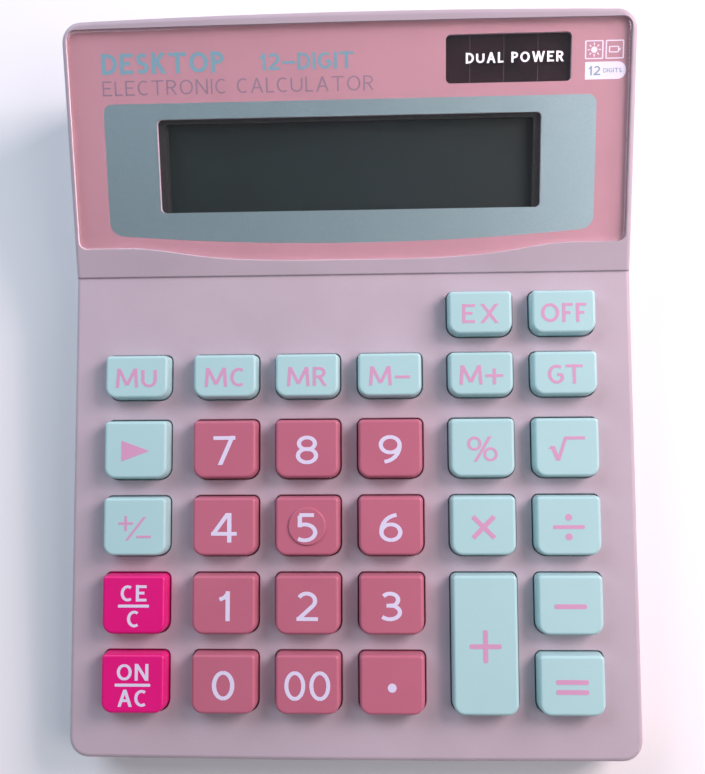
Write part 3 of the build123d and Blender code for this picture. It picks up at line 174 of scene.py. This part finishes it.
# ---------------------------------------------------------------- materials
def moulded_plastic(name, color, roughness=0.42, grain=0.00003, grain_scale=2600, mottle=0.05):
    """Spark-eroded moulded plastic: a fine even grain, faint mottling and uneven sheen."""
    material, tree_nodes, links, shader = new_material(name)
    cloud = noise(tree_nodes, links, 38.0, detail=5.0)
    base = ramp(tree_nodes, links, cloud, 0.3, 0.7, shade(color, 1 - mottle), shade(color, 1 + mottle))
    links.new(base, shader.inputs["Base Color"])
    smudge = noise(tree_nodes, links, 90.0, detail=3.0)
    sheen = spread(tree_nodes, links, smudge, roughness - 0.05, roughness + 0.06)
    links.new(sheen, shader.inputs["Roughness"])
    bump(tree_nodes, links, shader, noise(tree_nodes, links, grain_scale, detail=2.0), grain)
    set_inputs(shader, IOR=1.49)
    return material


def clear_acrylic():
    """Clear window: smooth, with faint wiping marks; lamps reach what is behind it."""
    material, tree_nodes, links, shader = new_material("window_acrylic")
    set_inputs(shader, Base_Color=(1.0, 0.985, 0.99, 1), IOR=1.49, Transmission_Weight=1.0)
    wipes = noise(tree_nodes, links, 60.0, detail=6.0, stretch=(0.4, 1, 1))
    links.new(spread(tree_nodes, links, wipes, 0.0, 0.05), shader.inputs["Roughness"])
    path = tree_nodes.new("ShaderNodeLightPath")
    open_to_lamps = tree_nodes.new("ShaderNodeBsdfTransparent")
    mix = tree_nodes.new("ShaderNodeMixShader")
    links.new(path.outputs["Is Shadow Ray"], mix.inputs["Fac"])
    links.new(shader.outputs["BSDF"], mix.inputs[1])
    links.new(open_to_lamps.outputs["BSDF"], mix.inputs[2])
    links.new(mix.outputs["Shader"], tree_nodes["Material Output"].inputs["Surface"])
    return material


def printed_layer(name, color, roughness=0.5, metallic=0.0):
    """An even printed coat with a very fine screen texture."""
    material, tree_nodes, links, shader = new_material(name)
    cloud = noise(tree_nodes, links, 55.0, detail=3.0)
    base = ramp(tree_nodes, links, cloud, 0.3, 0.7, shade(color, 0.97), shade(color, 1.03))
    links.new(base, shader.inputs["Base Color"])
    dots = noise(tree_nodes, links, 4200.0, detail=1.0)
    sheen = spread(tree_nodes, links, dots, roughness - 0.04, roughness + 0.04)
    links.new(sheen, shader.inputs["Roughness"])
    bump(tree_nodes, links, shader, dots, 0.000004)
    set_inputs(shader, Metallic=metallic)
    return material


def silver_bezel():
    """Blue-silver metallic ink: flakes glint and the tone drifts a little."""
    material, tree_nodes, links, shader = new_material("bezel_silver")
    flakes = noise(tree_nodes, links, 5200.0, detail=1.0)
    base = ramp(tree_nodes, links, flakes, 0.3, 0.7, (0.25, 0.37, 0.39), (0.34, 0.46, 0.48))
    links.new(base, shader.inputs["Base Color"])
    links.new(spread(tree_nodes, links, flakes, 0.38, 0.48), shader.inputs["Roughness"])
    set_inputs(shader, Metallic=0.9)
    bump(tree_nodes, links, shader, flakes, 0.000006)
    return material


def display_film():
    """The display at rest: a dark green-black film, with a soft cloudy sheen painted into its colour."""
    material, tree_nodes, links, shader = new_material("polariser_film")
    # painted sheen: the film's colour drifts in soft clouds from darker to lighter green-black, standing in
    # for a reflected glow
    cloud = noise(tree_nodes, links, 22.0, detail=2.0)
    base = ramp(tree_nodes, links, cloud, 0.35, 0.7, (0.002, 0.008, 0.006), (0.005, 0.014, 0.013))
    links.new(base, shader.inputs["Base Color"])
    dust = noise(tree_nodes, links, 1600.0, detail=3.0)
    links.new(spread(tree_nodes, links, dust, 0.32, 0.40), shader.inputs["Roughness"])
    set_inputs(shader, IOR=1.5)
    return material


def solar_glass():
    """Amorphous silicon behind glass: near black with a maroon cast."""
    material, tree_nodes, links, shader = new_material("solar_glass")
    cloud = noise(tree_nodes, links, 120.0, detail=4.0)
    base = ramp(tree_nodes, links, cloud, 0.3, 0.7, (0.010, 0.006, 0.008), (0.022, 0.010, 0.013))
    links.new(base, shader.inputs["Base Color"])
    links.new(spread(tree_nodes, links, cloud, 0.12, 0.2), shader.inputs["Roughness"])
    set_inputs(shader, IOR=1.52)
    return material


def thin_glass():
    """The display's glass plates."""
    material, tree_nodes, links, shader = new_material("display_glass")
    set_inputs(shader, Base_Color=(0.86, 0.93, 0.89, 1), IOR=1.52, Transmission_Weight=0.9)
    film = noise(tree_nodes, links, 200.0, detail=2.0)
    links.new(spread(tree_nodes, links, film, 0.02, 0.06), shader.inputs["Roughness"])
    return material


def rubber(name, color, roughness=0.75):
    """Moulded rubber with a dusty, slightly pebbled skin."""
    material, tree_nodes, links, shader = new_material(name)
    dust = noise(tree_nodes, links, 300.0, detail=6.0)
    base = ramp(tree_nodes, links, dust, 0.35, 0.75, color, shade(color, 1.35))
    links.new(base, shader.inputs["Base Color"])
    sheen = spread(tree_nodes, links, dust, roughness - 0.1, roughness + 0.08)
    links.new(sheen, shader.inputs["Roughness"])
    bump(tree_nodes, links, shader, noise(tree_nodes, links, 1500.0, detail=3.0), 0.00004)
    return material


def plated_steel(name, color, roughness=0.32):
    """Plated steel with fine drawn lines and dull spots."""
    material, tree_nodes, links, shader = new_material(name)
    lines = noise(tree_nodes, links, 900.0, detail=4.0, stretch=(0.06, 1, 1))
    base = ramp(tree_nodes, links, lines, 0.3, 0.7, shade(color, 0.85), color)
    links.new(base, shader.inputs["Base Color"])
    sheen = spread(tree_nodes, links, lines, roughness - 0.08, roughness + 0.12)
    links.new(sheen, shader.inputs["Roughness"])
    bump(tree_nodes, links, shader, lines, 0.00001)
    set_inputs(shader, Metallic=1.0)
    return material


def board_laminate():
    """Brown laminate under a green solder mask, with branching copper tracks showing through."""
    material, tree_nodes, links, shader = new_material("board_resin")
    place = tree_nodes.new("ShaderNodeTexCoord")
    cells = tree_nodes.new("ShaderNodeTexVoronoi")
    cells.distance = "MANHATTAN"
    cells.feature = "DISTANCE_TO_EDGE"
    set_inputs(cells, Scale=260.0, Randomness=0.55)
    links.new(place.outputs["Object"], cells.inputs["Vector"])
    copper, mask = (0.11, 0.25, 0.08), (0.05, 0.13, 0.05)
    tracks = ramp(tree_nodes, links, cells.outputs["Distance"], 0.10, 0.13, copper, mask)
    links.new(tracks, shader.inputs["Base Color"])
    bump(tree_nodes, links, shader, cells.outputs["Distance"], 0.00002)
    set_inputs(shader, Roughness=0.35)
    return material


CASE_COLOR = (0.50, 0.415, 0.472)
AQUA = (0.43, 0.675, 0.68)
ROSE = (0.51, 0.140, 0.212)
MAGENTA = (0.75, 0.002, 0.20)
WINDOW_PINK = (0.345, 0.178, 0.212)

MATERIALS = {
    "case": moulded_plastic("case", CASE_COLOR, roughness=0.45),
    "key_aqua": moulded_plastic("key_aqua", AQUA, roughness=0.38, grain=0.00002, mottle=0.025),
    "key_rose": moulded_plastic("key_rose", ROSE, roughness=0.4, grain=0.00002, mottle=0.04),
    "key_magenta": moulded_plastic("key_magenta", MAGENTA, roughness=0.4, grain=0.00002, mottle=0.04),
    "window_acrylic": clear_acrylic(),
    "window_print": printed_layer("window_print", WINDOW_PINK),
    "bezel_silver": silver_bezel(),
    "black_plastic": moulded_plastic("black_plastic", (0.004, 0.005, 0.005), roughness=0.7),
    "polariser_film": display_film(),
    "display_glass": thin_glass(),
    "flex_film": printed_layer("flex_film", (0.16, 0.07, 0.02), roughness=0.3),
    "foam_tape": rubber("foam_tape", (0.6, 0.6, 0.58), roughness=0.9),
    "solar_glass": solar_glass(),
    "board_resin": board_laminate(),
    "screw_steel": plated_steel("screw_steel", (0.62, 0.62, 0.64)),
    "mat_rubber": rubber("mat_rubber", (0.52, 0.52, 0.50)),
    "carbon_rubber": rubber("carbon_rubber", (0.012, 0.012, 0.012)),
    "black_resin": moulded_plastic("black_resin", (0.008, 0.008, 0.008), roughness=0.2),
    "capacitor_sleeve": printed_layer("capacitor_sleeve", (0.02, 0.03, 0.12), roughness=0.3),
    "cell_jacket": printed_layer("cell_jacket", (0.03, 0.08, 0.22), roughness=0.3, metallic=0.6),
    "contact_steel": plated_steel("contact_steel", (0.72, 0.72, 0.70), roughness=0.25),
    "lead_red": rubber("lead_red", (0.42, 0.015, 0.015), roughness=0.45),
    "lead_black": rubber("lead_black", (0.01, 0.01, 0.01), roughness=0.45),
    "feet_rubber": rubber("feet_rubber", (0.018, 0.018, 0.02)),
    "legend_pink": printed_layer("legend_pink", (0.66, 0.33, 0.52), roughness=0.45),
    "legend_pale": printed_layer("legend_pale", (0.72, 0.68, 0.86), roughness=0.45),
    "head_lettering": printed_layer("head_lettering", (0.125, 0.25, 0.30), roughness=0.45),
    "head_line": printed_layer("head_line", (0.18, 0.125, 0.175), roughness=0.45),
    "head_icons": printed_layer("head_icons", (0.60, 0.58, 0.68), roughness=0.45),
    "solar_lettering": printed_layer("solar_lettering", (0.80, 0.82, 0.86), roughness=0.45),
    "solar_line": printed_layer("solar_line", (0.045, 0.03, 0.034), roughness=0.4),
}


def finish_cad_nodes():
    """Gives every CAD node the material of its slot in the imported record."""
    for entry in frame["record"]["subparts"]:
        data = nodes[entry["node"]].data
        data.materials.clear()
        data.materials.append(MATERIALS[entry["material_slot"]])


# ---------------------------------------------------------------- stroke lettering
def arc(x, y, radius_x, radius_y, start, end):
    """Points along an ellipse, from one angle to another, in degrees."""
    steps = max(4, int(abs(end - start) / 12))
    angles = [radians(start + (end - start) * step / steps) for step in range(steps + 1)]
    return [(x + radius_x * cos(angle), y + radius_y * sin(angle)) for angle in angles]


def ring(x, y, radius_x, radius_y):
    """An ellipse as two half strokes."""
    return [arc(x, y, radius_x, radius_y, 90, 270), arc(x, y, radius_x, radius_y, 270, 450)]


# Each character: its width over its height, then its strokes. A stroke of four numbers is a straight
# bar between two points of the character's box; a list of points is a curve.
GLYPHS = {
    "0": (0.77, [*ring(0.5, 0.5, 0.5, 0.5)]),
    "1": (0.43, [(1, 0, 1, 1), [(1.0, 0.99), (0.55, 0.83), (0.0, 0.76)]]),
    "2": (0.73, [arc(0.47, 0.71, 0.49, 0.29, 152, -38) + [(0.02, 0.02)], (0, 0, 1, 0)]),
    "3": (0.71, [
        arc(0.42, 0.76, 0.48, 0.24, 146, -90),
        arc(0.40, 0.27, 0.60, 0.27, 90, -140),
        (0.2, 0.53, 0.45, 0.53),
    ]),
    "4": (0.88, [(0.70, 1, 0, 0.26), (0, 0.26, 1, 0.26), (0.75, 0, 0.75, 1)]),
    "5": (0.71, [
        (0.04, 1, 0.93, 1),
        (0.07, 0.98, 0.07, 0.52),
        arc(0.36, 0.315, 0.64, 0.315, 120, -128),
    ]),
    "6": (0.79, [*ring(0.5, 0.31, 0.5, 0.31), arc(0.92, 0.36, 0.92, 0.64, 180, 97)]),
    "7": (0.76, [(0, 1, 1, 1), (0.97, 1, 0.26, 0)]),
    "8": (0.77, [*ring(0.5, 0.76, 0.44, 0.24), *ring(0.5, 0.27, 0.5, 0.27)]),
    "9": (0.79, [*ring(0.5, 0.69, 0.5, 0.31), arc(0.08, 0.64, 0.92, 0.64, 0, -83)]),
    "A": (0.86, [(0, 0, 0.5, 1), (1, 0, 0.5, 1), (0.2, 0.33, 0.8, 0.33)]),
    "C": (0.76, [arc(0.6, 0.5, 0.6, 0.5, 55, 305)]),
    "D": (0.78, [(0, 0, 0, 1), [(0.0, 1.0)] + arc(0.36, 0.5, 0.64, 0.5, 90, -90) + [(0.0, 0.0)]]),
    "E": (0.66, [(0, 0, 0, 1), (0, 1, 1, 1), (0, 0.52, 0.92, 0.52), (0, 0, 1, 0)]),
    "F": (0.54, [(0, 0, 0, 1), (0, 1, 1, 1), (0, 0.5, 0.9, 0.5)]),
    "G": (0.84, [
        arc(0.54, 0.5, 0.54, 0.5, 52, 318),
        (0.96, 0.12, 0.96, 0.47),
        (0.58, 0.47, 0.98, 0.47),
    ]),
    "I": (0.12, [(0.5, 0, 0.5, 1)]),
    "K": (0.72, [(0, 0, 0, 1), (0, 0.36, 0.95, 1), (0.34, 0.58, 1, 0)]),
    "L": (0.54, [(0, 0, 0, 1), (0, 0, 1, 0)]),
    "M": (1.18, [(0, 0, 0.07, 1), (1, 0, 0.93, 1), (0.07, 1, 0.5, 0.04), (0.93, 1, 0.5, 0.04)]),
    "N": (0.84, [(0, 0, 0, 1), (1, 0, 1, 1), (0, 1, 1, 0)]),
    "O": (0.92, [*ring(0.5, 0.5, 0.5, 0.5)]),
    "P": (0.64, [(0, 0, 0, 1), [(0.0, 1.0)] + arc(0.45, 0.74, 0.55, 0.26, 90, -90) + [(0.0, 0.48)]]),
    "R": (0.72, [
        (0, 0, 0, 1),
        [(0.0, 1.0)] + arc(0.42, 0.74, 0.50, 0.26, 90, -90) + [(0.0, 0.48)],
        (0.45, 0.48, 1, 0),
    ]),
    "S": (0.62, [arc(0.52, 0.745, 0.46, 0.255, 35, 268) + arc(0.48, 0.245, 0.52, 0.245, 88, -148)]),
    "T": (0.86, [(0, 1, 1, 1), (0.5, 0, 0.5, 1)]),
    "U": (0.82, [[(0.0, 1.0)] + arc(0.5, 0.36, 0.5, 0.36, 180, 360) + [(1.0, 1.0)]]),
    "W": (1.25, [(0, 1, 0.25, 0), (0.5, 1, 0.25, 0), (0.5, 1, 0.75, 0), (1, 1, 0.75, 0)]),
    "X": (0.92, [(0, 0, 1, 1), (0, 1, 1, 0)]),
    "-": (0.78, [(0, 0.42, 1, 0.42)]),
    "+": (0.90, [(0, 0.44, 1, 0.44), (0.5, 0.0, 0.5, 0.88)]),
    "%": (1.20, [*ring(0.21, 0.74, 0.21, 0.26), *ring(0.79, 0.26, 0.21, 0.26), (0.24, 0, 0.78, 1)]),
    " ": (0.34, []),
}


def thinned(weight, across, along):
    """A stroke's width: the more nearly level it runs, the thinner it is."""
    return weight * (1 - THINNING * across**2 / along**2)


def bar_outline(start, end, weight):
    """A straight stroke with its ends cut level or upright, whichever is nearer to square."""
    across, up = end[0] - start[0], end[1] - start[1]
    length = (across**2 + up**2) ** 0.5
    half = thinned(weight, across, length) / 2
    if abs(up) > 0.3 * abs(across):
        shift = (half * length / abs(up), 0)
    else:
        shift = (0, half * length / abs(across))
    corners = ((start, -1), (end, -1), (end, 1), (start, 1))
    return [(point[0] + side * shift[0], point[1] + side * shift[1]) for point, side in corners]


def curve_outline(points, weight):
    """A curved stroke, its ends cut square."""
    left, right = [], []
    for index, point in enumerate(points):
        before, after = points[max(index - 1, 0)], points[min(index + 1, len(points) - 1)]
        heading = atan2(after[1] - before[1], after[0] - before[0])
        half = thinned(weight, cos(heading), 1) / 2
        aside = (-sin(heading) * half, cos(heading) * half)
        left.append((point[0] + aside[0], point[1] + aside[1]))
        right.append((point[0] - aside[0], point[1] - aside[1]))
    return left + right[::-1]


def glyph_outlines(character, x, height, weight):
    """A character's strokes as outlines, from its left edge at x, and its width."""
    proportion, strokes = GLYPHS[character]
    width = max(proportion * height, weight)
    outlines = []

    def place(px, py, to_edge):
        """A point of the box; straight strokes reach its edge, and curves stay half a weight in."""
        fx = weight / 2 + px * (width - weight)
        fy = weight / 2 + py * (height - weight)
        if to_edge == "y" and py in (0, 1):
            fy = py * height
        if to_edge == "x" and px in (0, 1):
            fx = px * width
        return x + fx, fy

    for stroke in strokes:
        if isinstance(stroke, tuple):
            x0, y0, x1, y1 = stroke
            edge = "y" if abs(y1 - y0) * height > 0.3 * abs(x1 - x0) * width else "x"
            outlines.append(bar_outline(place(x0, y0, edge), place(x1, y1, edge), weight))
        else:
            outlines.append(curve_outline([place(px, py, "") for px, py in stroke], weight))
    return outlines, width


def text_outlines(text, height, weight, gap=None, x=0.0, y=0.0, centred=True):
    """A line of lettering, centred on x and y or starting from them."""
    gap = 0.16 * height if gap is None else gap
    outlines, cursor = [], 0.0
    for character in text:
        made, width = glyph_outlines(character, cursor, height, weight)
        outlines += made
        cursor += width + gap
    shift_x = x - (cursor - gap) / 2 if centred else x
    shift_y = y - height / 2 if centred else y
    return [[(px + shift_x, py + shift_y) for px, py in outline] for outline in outlines]


def disc(x, y, radius):
    """A filled circle."""
    return [(x + radius * cos(step * pi / 16), y + radius * sin(step * pi / 16)) for step in range(32)]


def rounded(left, right, bottom, top, radii):
    """A filled rectangle with its own radius at each corner, from bottom left, anticlockwise."""
    corners = ((left, bottom, 180), (right, bottom, 270), (right, top, 0), (left, top, 90))
    outline = []
    for (x, y, start), radius in zip(corners, radii):
        inward_x = radius if x == left else -radius
        inward_y = radius if y == bottom else -radius
        outline += arc(x + inward_x, y + inward_y, radius, radius, start, start + 90)
    return outline


def prism_object(name, outlines, height):
    """One closed prism for each outline, in millimetres."""
    built = bmesh.new()
    for outline in outlines:
        area = sum(a[0] * b[1] - b[0] * a[1] for a, b in zip(outline, outline[1:] + outline[:1]))
        points = outline if area > 0 else outline[::-1]
        low = [built.verts.new((x, y, -PRINT_SUNK)) for x, y in points]
        high = [built.verts.new((x, y, height)) for x, y in points]
        built.faces.new(high)
        built.faces.new(low[::-1])
        for index in range(len(points)):
            following = (index + 1) % len(points)
            built.faces.new((low[index], low[following], high[following], high[index]))
    mesh = bpy.data.meshes.new(name)
    built.to_mesh(mesh)
    built.free()
    made = bpy.data.objects.new(name, mesh)
    bpy.context.scene.collection.objects.link(made)
    return made


def joined(piece, others):
    """Fuses overlapping prisms into the first one, so that strokes meet without inner walls."""
    fuse = piece.modifiers.new("fuse", "BOOLEAN")
    fuse.operation = "UNION"
    fuse.solver = "EXACT"
    fuse.use_self = True
    fuse.object = others
    graph = bpy.context.evaluated_depsgraph_get()
    piece.data = bpy.data.meshes.new_from_object(piece.evaluated_get(graph))
    piece.modifiers.clear()
    bpy.data.objects.remove(others)


def print_piece(name, outlines, place, body, material, height=PRINT_HEIGHT):
    """Makes one thin printed piece from outlines in millimetres, and rides it on a body."""
    piece = prism_object(name, outlines[:1], height)
    if len(outlines) > 1:
        joined(piece, prism_object(f"{name}_strokes", outlines[1:], height))
    piece.data.name = name
    piece.data.transform(place)
    piece.data.materials.clear()
    piece.data.materials.append(MATERIALS[material])
    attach(piece, body)
    return piece


# ---------------------------------------------------------------- key legends
def word(text):
    """Capitals on a short key."""
    return text_outlines(text, WORD_HEIGHT, WORD_STROKE)


def number(text):
    """A figure on a rose key."""
    return text_outlines(text, DIGIT_HEIGHT, DIGIT_STROKE)


def narrow(outlines, share):
    """Outlines squeezed sideways."""
    return [[(x * share, y) for x, y in outline] for outline in outlines]


def fraction(upper, lower, half_width):
    """Two short words, one over the other, with a bar between them."""
    outlines = text_outlines(upper, 4.1, SMALL_WORD_STROKE, y=SMALL_WORD_RISE, gap=0.75)
    outlines += text_outlines(lower, 4.2, SMALL_WORD_STROKE, y=-SMALL_WORD_DROP, gap=0.6)
    outlines.append(round_bar(0, 0, half_width, 0.36))
    return outlines


def round_bar(x, y, half_width, half_height):
    """A bar with softened ends."""
    edge = 0.7 * min(half_width, half_height)
    sides = (x - half_width, x + half_width, y - half_height, y + half_height)
    return rounded(*sides, (edge, edge, edge, edge))


def triangle():
    """A filled triangle that points right."""
    return [[(-3.6, -2.65), (3.6, 0.0), (-3.6, 2.65)]]


def root():
    """A root sign."""
    strokes = (
        ((-4.4, -0.1), (-3.3, 0.45), 0.5),
        ((-3.6, 0.6), (-2.2, -3.0), 1.1),
        ((-2.2, -3.0), (-0.2, 2.95), 0.8),
        ((-0.45, 2.6), (4.5, 2.6), 0.9),
    )
    return [bar_outline(start, end, weight) for start, end, weight in strokes]


def times():
    """A multiplication cross."""
    return [
        curve_outline([(-CROSS_REACH, -CROSS_REACH), (CROSS_REACH, CROSS_REACH)], CROSS_STROKE),
        curve_outline([(-CROSS_REACH, CROSS_REACH), (CROSS_REACH, -CROSS_REACH)], CROSS_STROKE),
    ]


def divide():
    """A division sign."""
    return [round_bar(0, 0, 3.9, 0.47), disc(0, 2.4, 0.85), disc(0, -2.4, 0.85)]


def plus_minus():
    """A small plus over a slash over a small minus."""
    return [
        bar_outline((-4.15, 1.15), (-0.35, 1.15), 0.72),
        bar_outline((-2.25, -0.75), (-2.25, 3.05), 0.66),
        bar_outline((-2.0, -3.1), (2.6, 2.8), 0.62),
        bar_outline((0.5, -2.2), (4.2, -2.2), 0.72),
    ]


def bars(*levels):
    """Level bars, for minus and equals."""
    return [round_bar(0, y, SIGN_REACH, SIGN_HALF) for y in levels]


def plus():
    """A large plus."""
    return [round_bar(0, 0, PLUS_REACH, SIGN_HALF), round_bar(0, 0, SIGN_HALF, PLUS_RISE)]


LEGENDS = {
    "key_exchange": text_outlines("EX", WORD_HEIGHT, WORD_STROKE, gap=1.4),
    "key_off": word("OFF"),
    "key_mark_up": word("MU"),
    "key_memory_clear": word("MC"),
    "key_memory_recall": word("MR"),
    "key_memory_minus": word("M-"),
    "key_memory_plus": word("M+"),
    "key_grand_total": text_outlines("GT", WORD_HEIGHT, WORD_STROKE, gap=0.35),
    "key_backspace": triangle(),
    "key_percent": text_outlines("%", 6.3, 0.72),
    "key_root": root(),
    "key_sign": plus_minus(),
    "key_multiply": times(),
    "key_divide": divide(),
    "key_plus": plus(),
    "key_minus": bars(0.0),
    "key_equals": bars(1.2, -1.2),
    "key_clear_entry": fraction("CE", "C", 3.95),
    "key_on": fraction("ON", "AC", 4.5),
    "key_point": [disc(0, -0.4, DOT_RADIUS)],
    "key_00": narrow(text_outlines("00", DIGIT_HEIGHT, DIGIT_STROKE, gap=1.1), 0.92),
}
LEGENDS |= {f"key_{digit}": number(str(digit)) for digit in range(10)}
PALE_SLOTS = ("key_rose", "key_magenta")


def add_key_legends():
    """Prints each key's legend on its upper face."""
    slots = {entry["node"]: entry["material_slot"] for entry in frame["record"]["subparts"]}
    for key, outlines in LEGENDS.items():
        finish = "legend_pale" if slots[key] in PALE_SLOTS else "legend_pink"
        drop = Matrix.Translation((0, -LEGEND_DROP, 0))
        place = surface(key, KEYPAD_UP) @ Matrix.Scale(MM, 4) @ drop
        print_piece(f"{key}_legend", outlines, place, key, finish)


# ---------------------------------------------------------------- print on the head
class Line(NamedTuple):
    """A line of lettering on the head, with the lower left corner of its first letter."""

    name: str
    text: str
    height: float
    stroke: float
    gap: float
    left: float
    base: float
    material: str


HEAD_LINES = (
    Line("title_lettering", "DESKTOP", 5.2, 1.1, 0.72, -62.4, 51.2, "head_lettering"),
    Line("size_lettering", "12-DIGIT", 4.2, 0.8, 0.55, -22.2, 51.4, "head_lettering"),
    Line("kind_lettering", "ELECTRONIC CALCULATOR", 3.7, 0.42, 0.72, -62.4, 46.0, "head_line"),
)


def box_frame(left, right, bottom, top, weight):
    """Four bars round a rectangle."""
    return [
        bar_outline((left, bottom), (right, bottom), weight),
        bar_outline((left, top), (right, top), weight),
        bar_outline((left, bottom), (left, top), weight),
        bar_outline((right, bottom), (right, top), weight),
    ]


def icon_frame(x):
    """The square outline of an icon."""
    return box_frame(x - ICON_HALF, x + ICON_HALF, ICON_Y - ICON_HALF, ICON_Y + ICON_HALF, ICON_LINE)


def sun_icon():
    """A sun with rays, in a square."""
    outlines = icon_frame(SUN_X)
    outlines.append(disc(SUN_X, ICON_Y, SUN_RADIUS))
    for step in range(RAYS):
        angle = 2 * pi * step / RAYS
        near = (SUN_X + RAY_START * cos(angle), ICON_Y + RAY_START * sin(angle))
        far = (SUN_X + RAY_END * cos(angle), ICON_Y + RAY_END * sin(angle))
        outlines.append(curve_outline([near, far], FINE_LINE))
    return outlines


def cell_icon():
    """A battery cell lying on its side, in a square."""
    outlines = icon_frame(CELL_X)
    outlines += box_frame(CELL_X - 1.3, CELL_X + 0.9, ICON_Y - 0.65, ICON_Y + 0.65, FINE_LINE)
    outlines.append(bar_outline((CELL_X + 0.9, ICON_Y), (CELL_X + 1.4, ICON_Y), 0.6))
    return outlines


def digits_lettering():
    """The number of digits, in large figures and a small word."""
    outlines = text_outlines("12", 2.3, 0.42, gap=0.4, x=61.7, y=LABEL_MIDDLE)
    return outlines + text_outlines("DIGITS", 1.1, 0.2, gap=0.14, x=66.2, y=LABEL_MIDDLE)


def add_head_print():
    """Lettering and icons on the printed layer behind the window."""
    place = head_print_frame()

    def add_print(name, outlines, material, height=HEAD_PRINT_HEIGHT):
        print_piece(name, outlines, place, "casing", material, height)

    for line in HEAD_LINES:
        outlines = text_outlines(
            line.text, line.height, line.stroke, line.gap, line.left, line.base, centred=False
        )
        add_print(line.name, outlines, line.material)
    power = text_outlines("DUAL POWER", 2.55, 0.52, gap=0.56, x=42.0, y=53.2)
    add_print("power_lettering", power, "solar_lettering")
    add_print("sun_icon", sun_icon(), "head_icons")
    add_print("cell_icon", cell_icon(), "head_icons")
    corners = (LABEL_SQUARE, LABEL_ROUND, LABEL_ROUND, LABEL_SQUARE)
    add_print("digits_label", [rounded(*LABEL_SPAN, corners)], "head_icons")
    add_print("digits_lettering", digits_lettering(), "head_lettering", PRINT_HEIGHT)


def add_solar_segments():
    """Fine lines between the segments of the solar cell, a little to the left of even quarters."""
    face = surface("solar_cell", HEAD_UP) @ Matrix.Scale(MM, 4)
    low, high = extent("solar_cell", HEAD_UP.cross(X_AXIS))
    reach = (high - low) / MM / 2 - SEGMENT_MARGIN
    lines = []
    for step in (-1, 0, 1):
        x = step * SEGMENT_PITCH - SEGMENT_SHIFT
        lines.append(bar_outline((x, -reach), (x, reach), SEGMENT_LINE))
    print_piece("solar_segment_lines", lines, face, "casing", "solar_line", 0.01)


# ---------------------------------------------------------------- stage
CAMERA_PLACE = (0.011557, -0.035733, 0.261504)
CAMERA_TURN = (8.62654, 2.62647, -0.12271)  # degrees about X, Y and Z
CAMERA_LENS = 44.302
LAMP_TARGET = (0, 0, 0.02)
FLOOR_REACH = 3.0


def add_floor():
    """A plain pale floor."""
    built = bmesh.new()
    bmesh.ops.create_grid(built, x_segments=1, y_segments=1, size=FLOOR_REACH)
    mesh = bpy.data.meshes.new("floor")
    built.to_mesh(mesh)
    built.free()
    floor = bpy.data.objects.new("floor", mesh)
    bpy.context.scene.collection.objects.link(floor)
    material, tree_nodes, links, shader = new_material("pale_floor")
    cloud = noise(tree_nodes, links, 6.0, detail=2.0)
    base = ramp(tree_nodes, links, cloud, 0.3, 0.7, (0.92, 0.92, 0.93), (0.94, 0.94, 0.95))
    links.new(base, shader.inputs["Base Color"])
    set_inputs(shader, Roughness=0.8)
    mesh.materials.append(material)


def add_area_light(name, place, size, power, color):
    """A soft square lamp aimed at the object."""
    light = bpy.data.lights.new(name, "AREA")
    light.size = size
    light.energy = power
    light.color = color
    lamp = bpy.data.objects.new(name, light)
    lamp.location = place
    lamp.rotation_euler = (Vector(LAMP_TARGET) - Vector(place)).to_track_quat("-Z", "Y").to_euler()
    bpy.context.scene.collection.objects.link(lamp)


def add_lights():
    """Warm light from the right, cool light from the left rear, soft light from above, and a dim sky."""
    add_area_light("warm_lamp", (0.46, 0.22, 0.36), 0.30, 3.9, (1.0, 0.80, 0.84))
    add_area_light("cool_lamp", (-0.42, 0.42, 0.46), 0.5, 3.1, (0.74, 0.86, 1.0))
    add_area_light("sheen_lamp", (0.48, -0.14, 0.64), 0.4, 1.6, (1.0, 0.94, 0.96))
    world = bpy.data.worlds.new("studio")
    world.use_nodes = True
    sky = world.node_tree.nodes["Background"]
    set_inputs(sky, Color=(0.84, 0.88, 1.0, 1), Strength=0.19)
    bpy.context.scene.world = world


def add_camera():
    """The camera, nearly square above the keypad."""
    data = bpy.data.cameras.new("camera")
    data.lens = CAMERA_LENS
    data.sensor_width = 36.0
    data.clip_start, data.clip_end = 0.01, 20.0
    camera = bpy.data.objects.new("camera", data)
    camera.location = CAMERA_PLACE
    camera.rotation_euler = Euler([radians(turn) for turn in CAMERA_TURN], "XYZ")
    bpy.context.scene.collection.objects.link(camera)
    bpy.context.scene.camera = camera


finish_cad_nodes()
add_key_legends()
add_head_print()
add_solar_segments()
add_floor()
add_lights()
add_camera()
bpy.context.scene.view_settings.view_transform = "Standard"
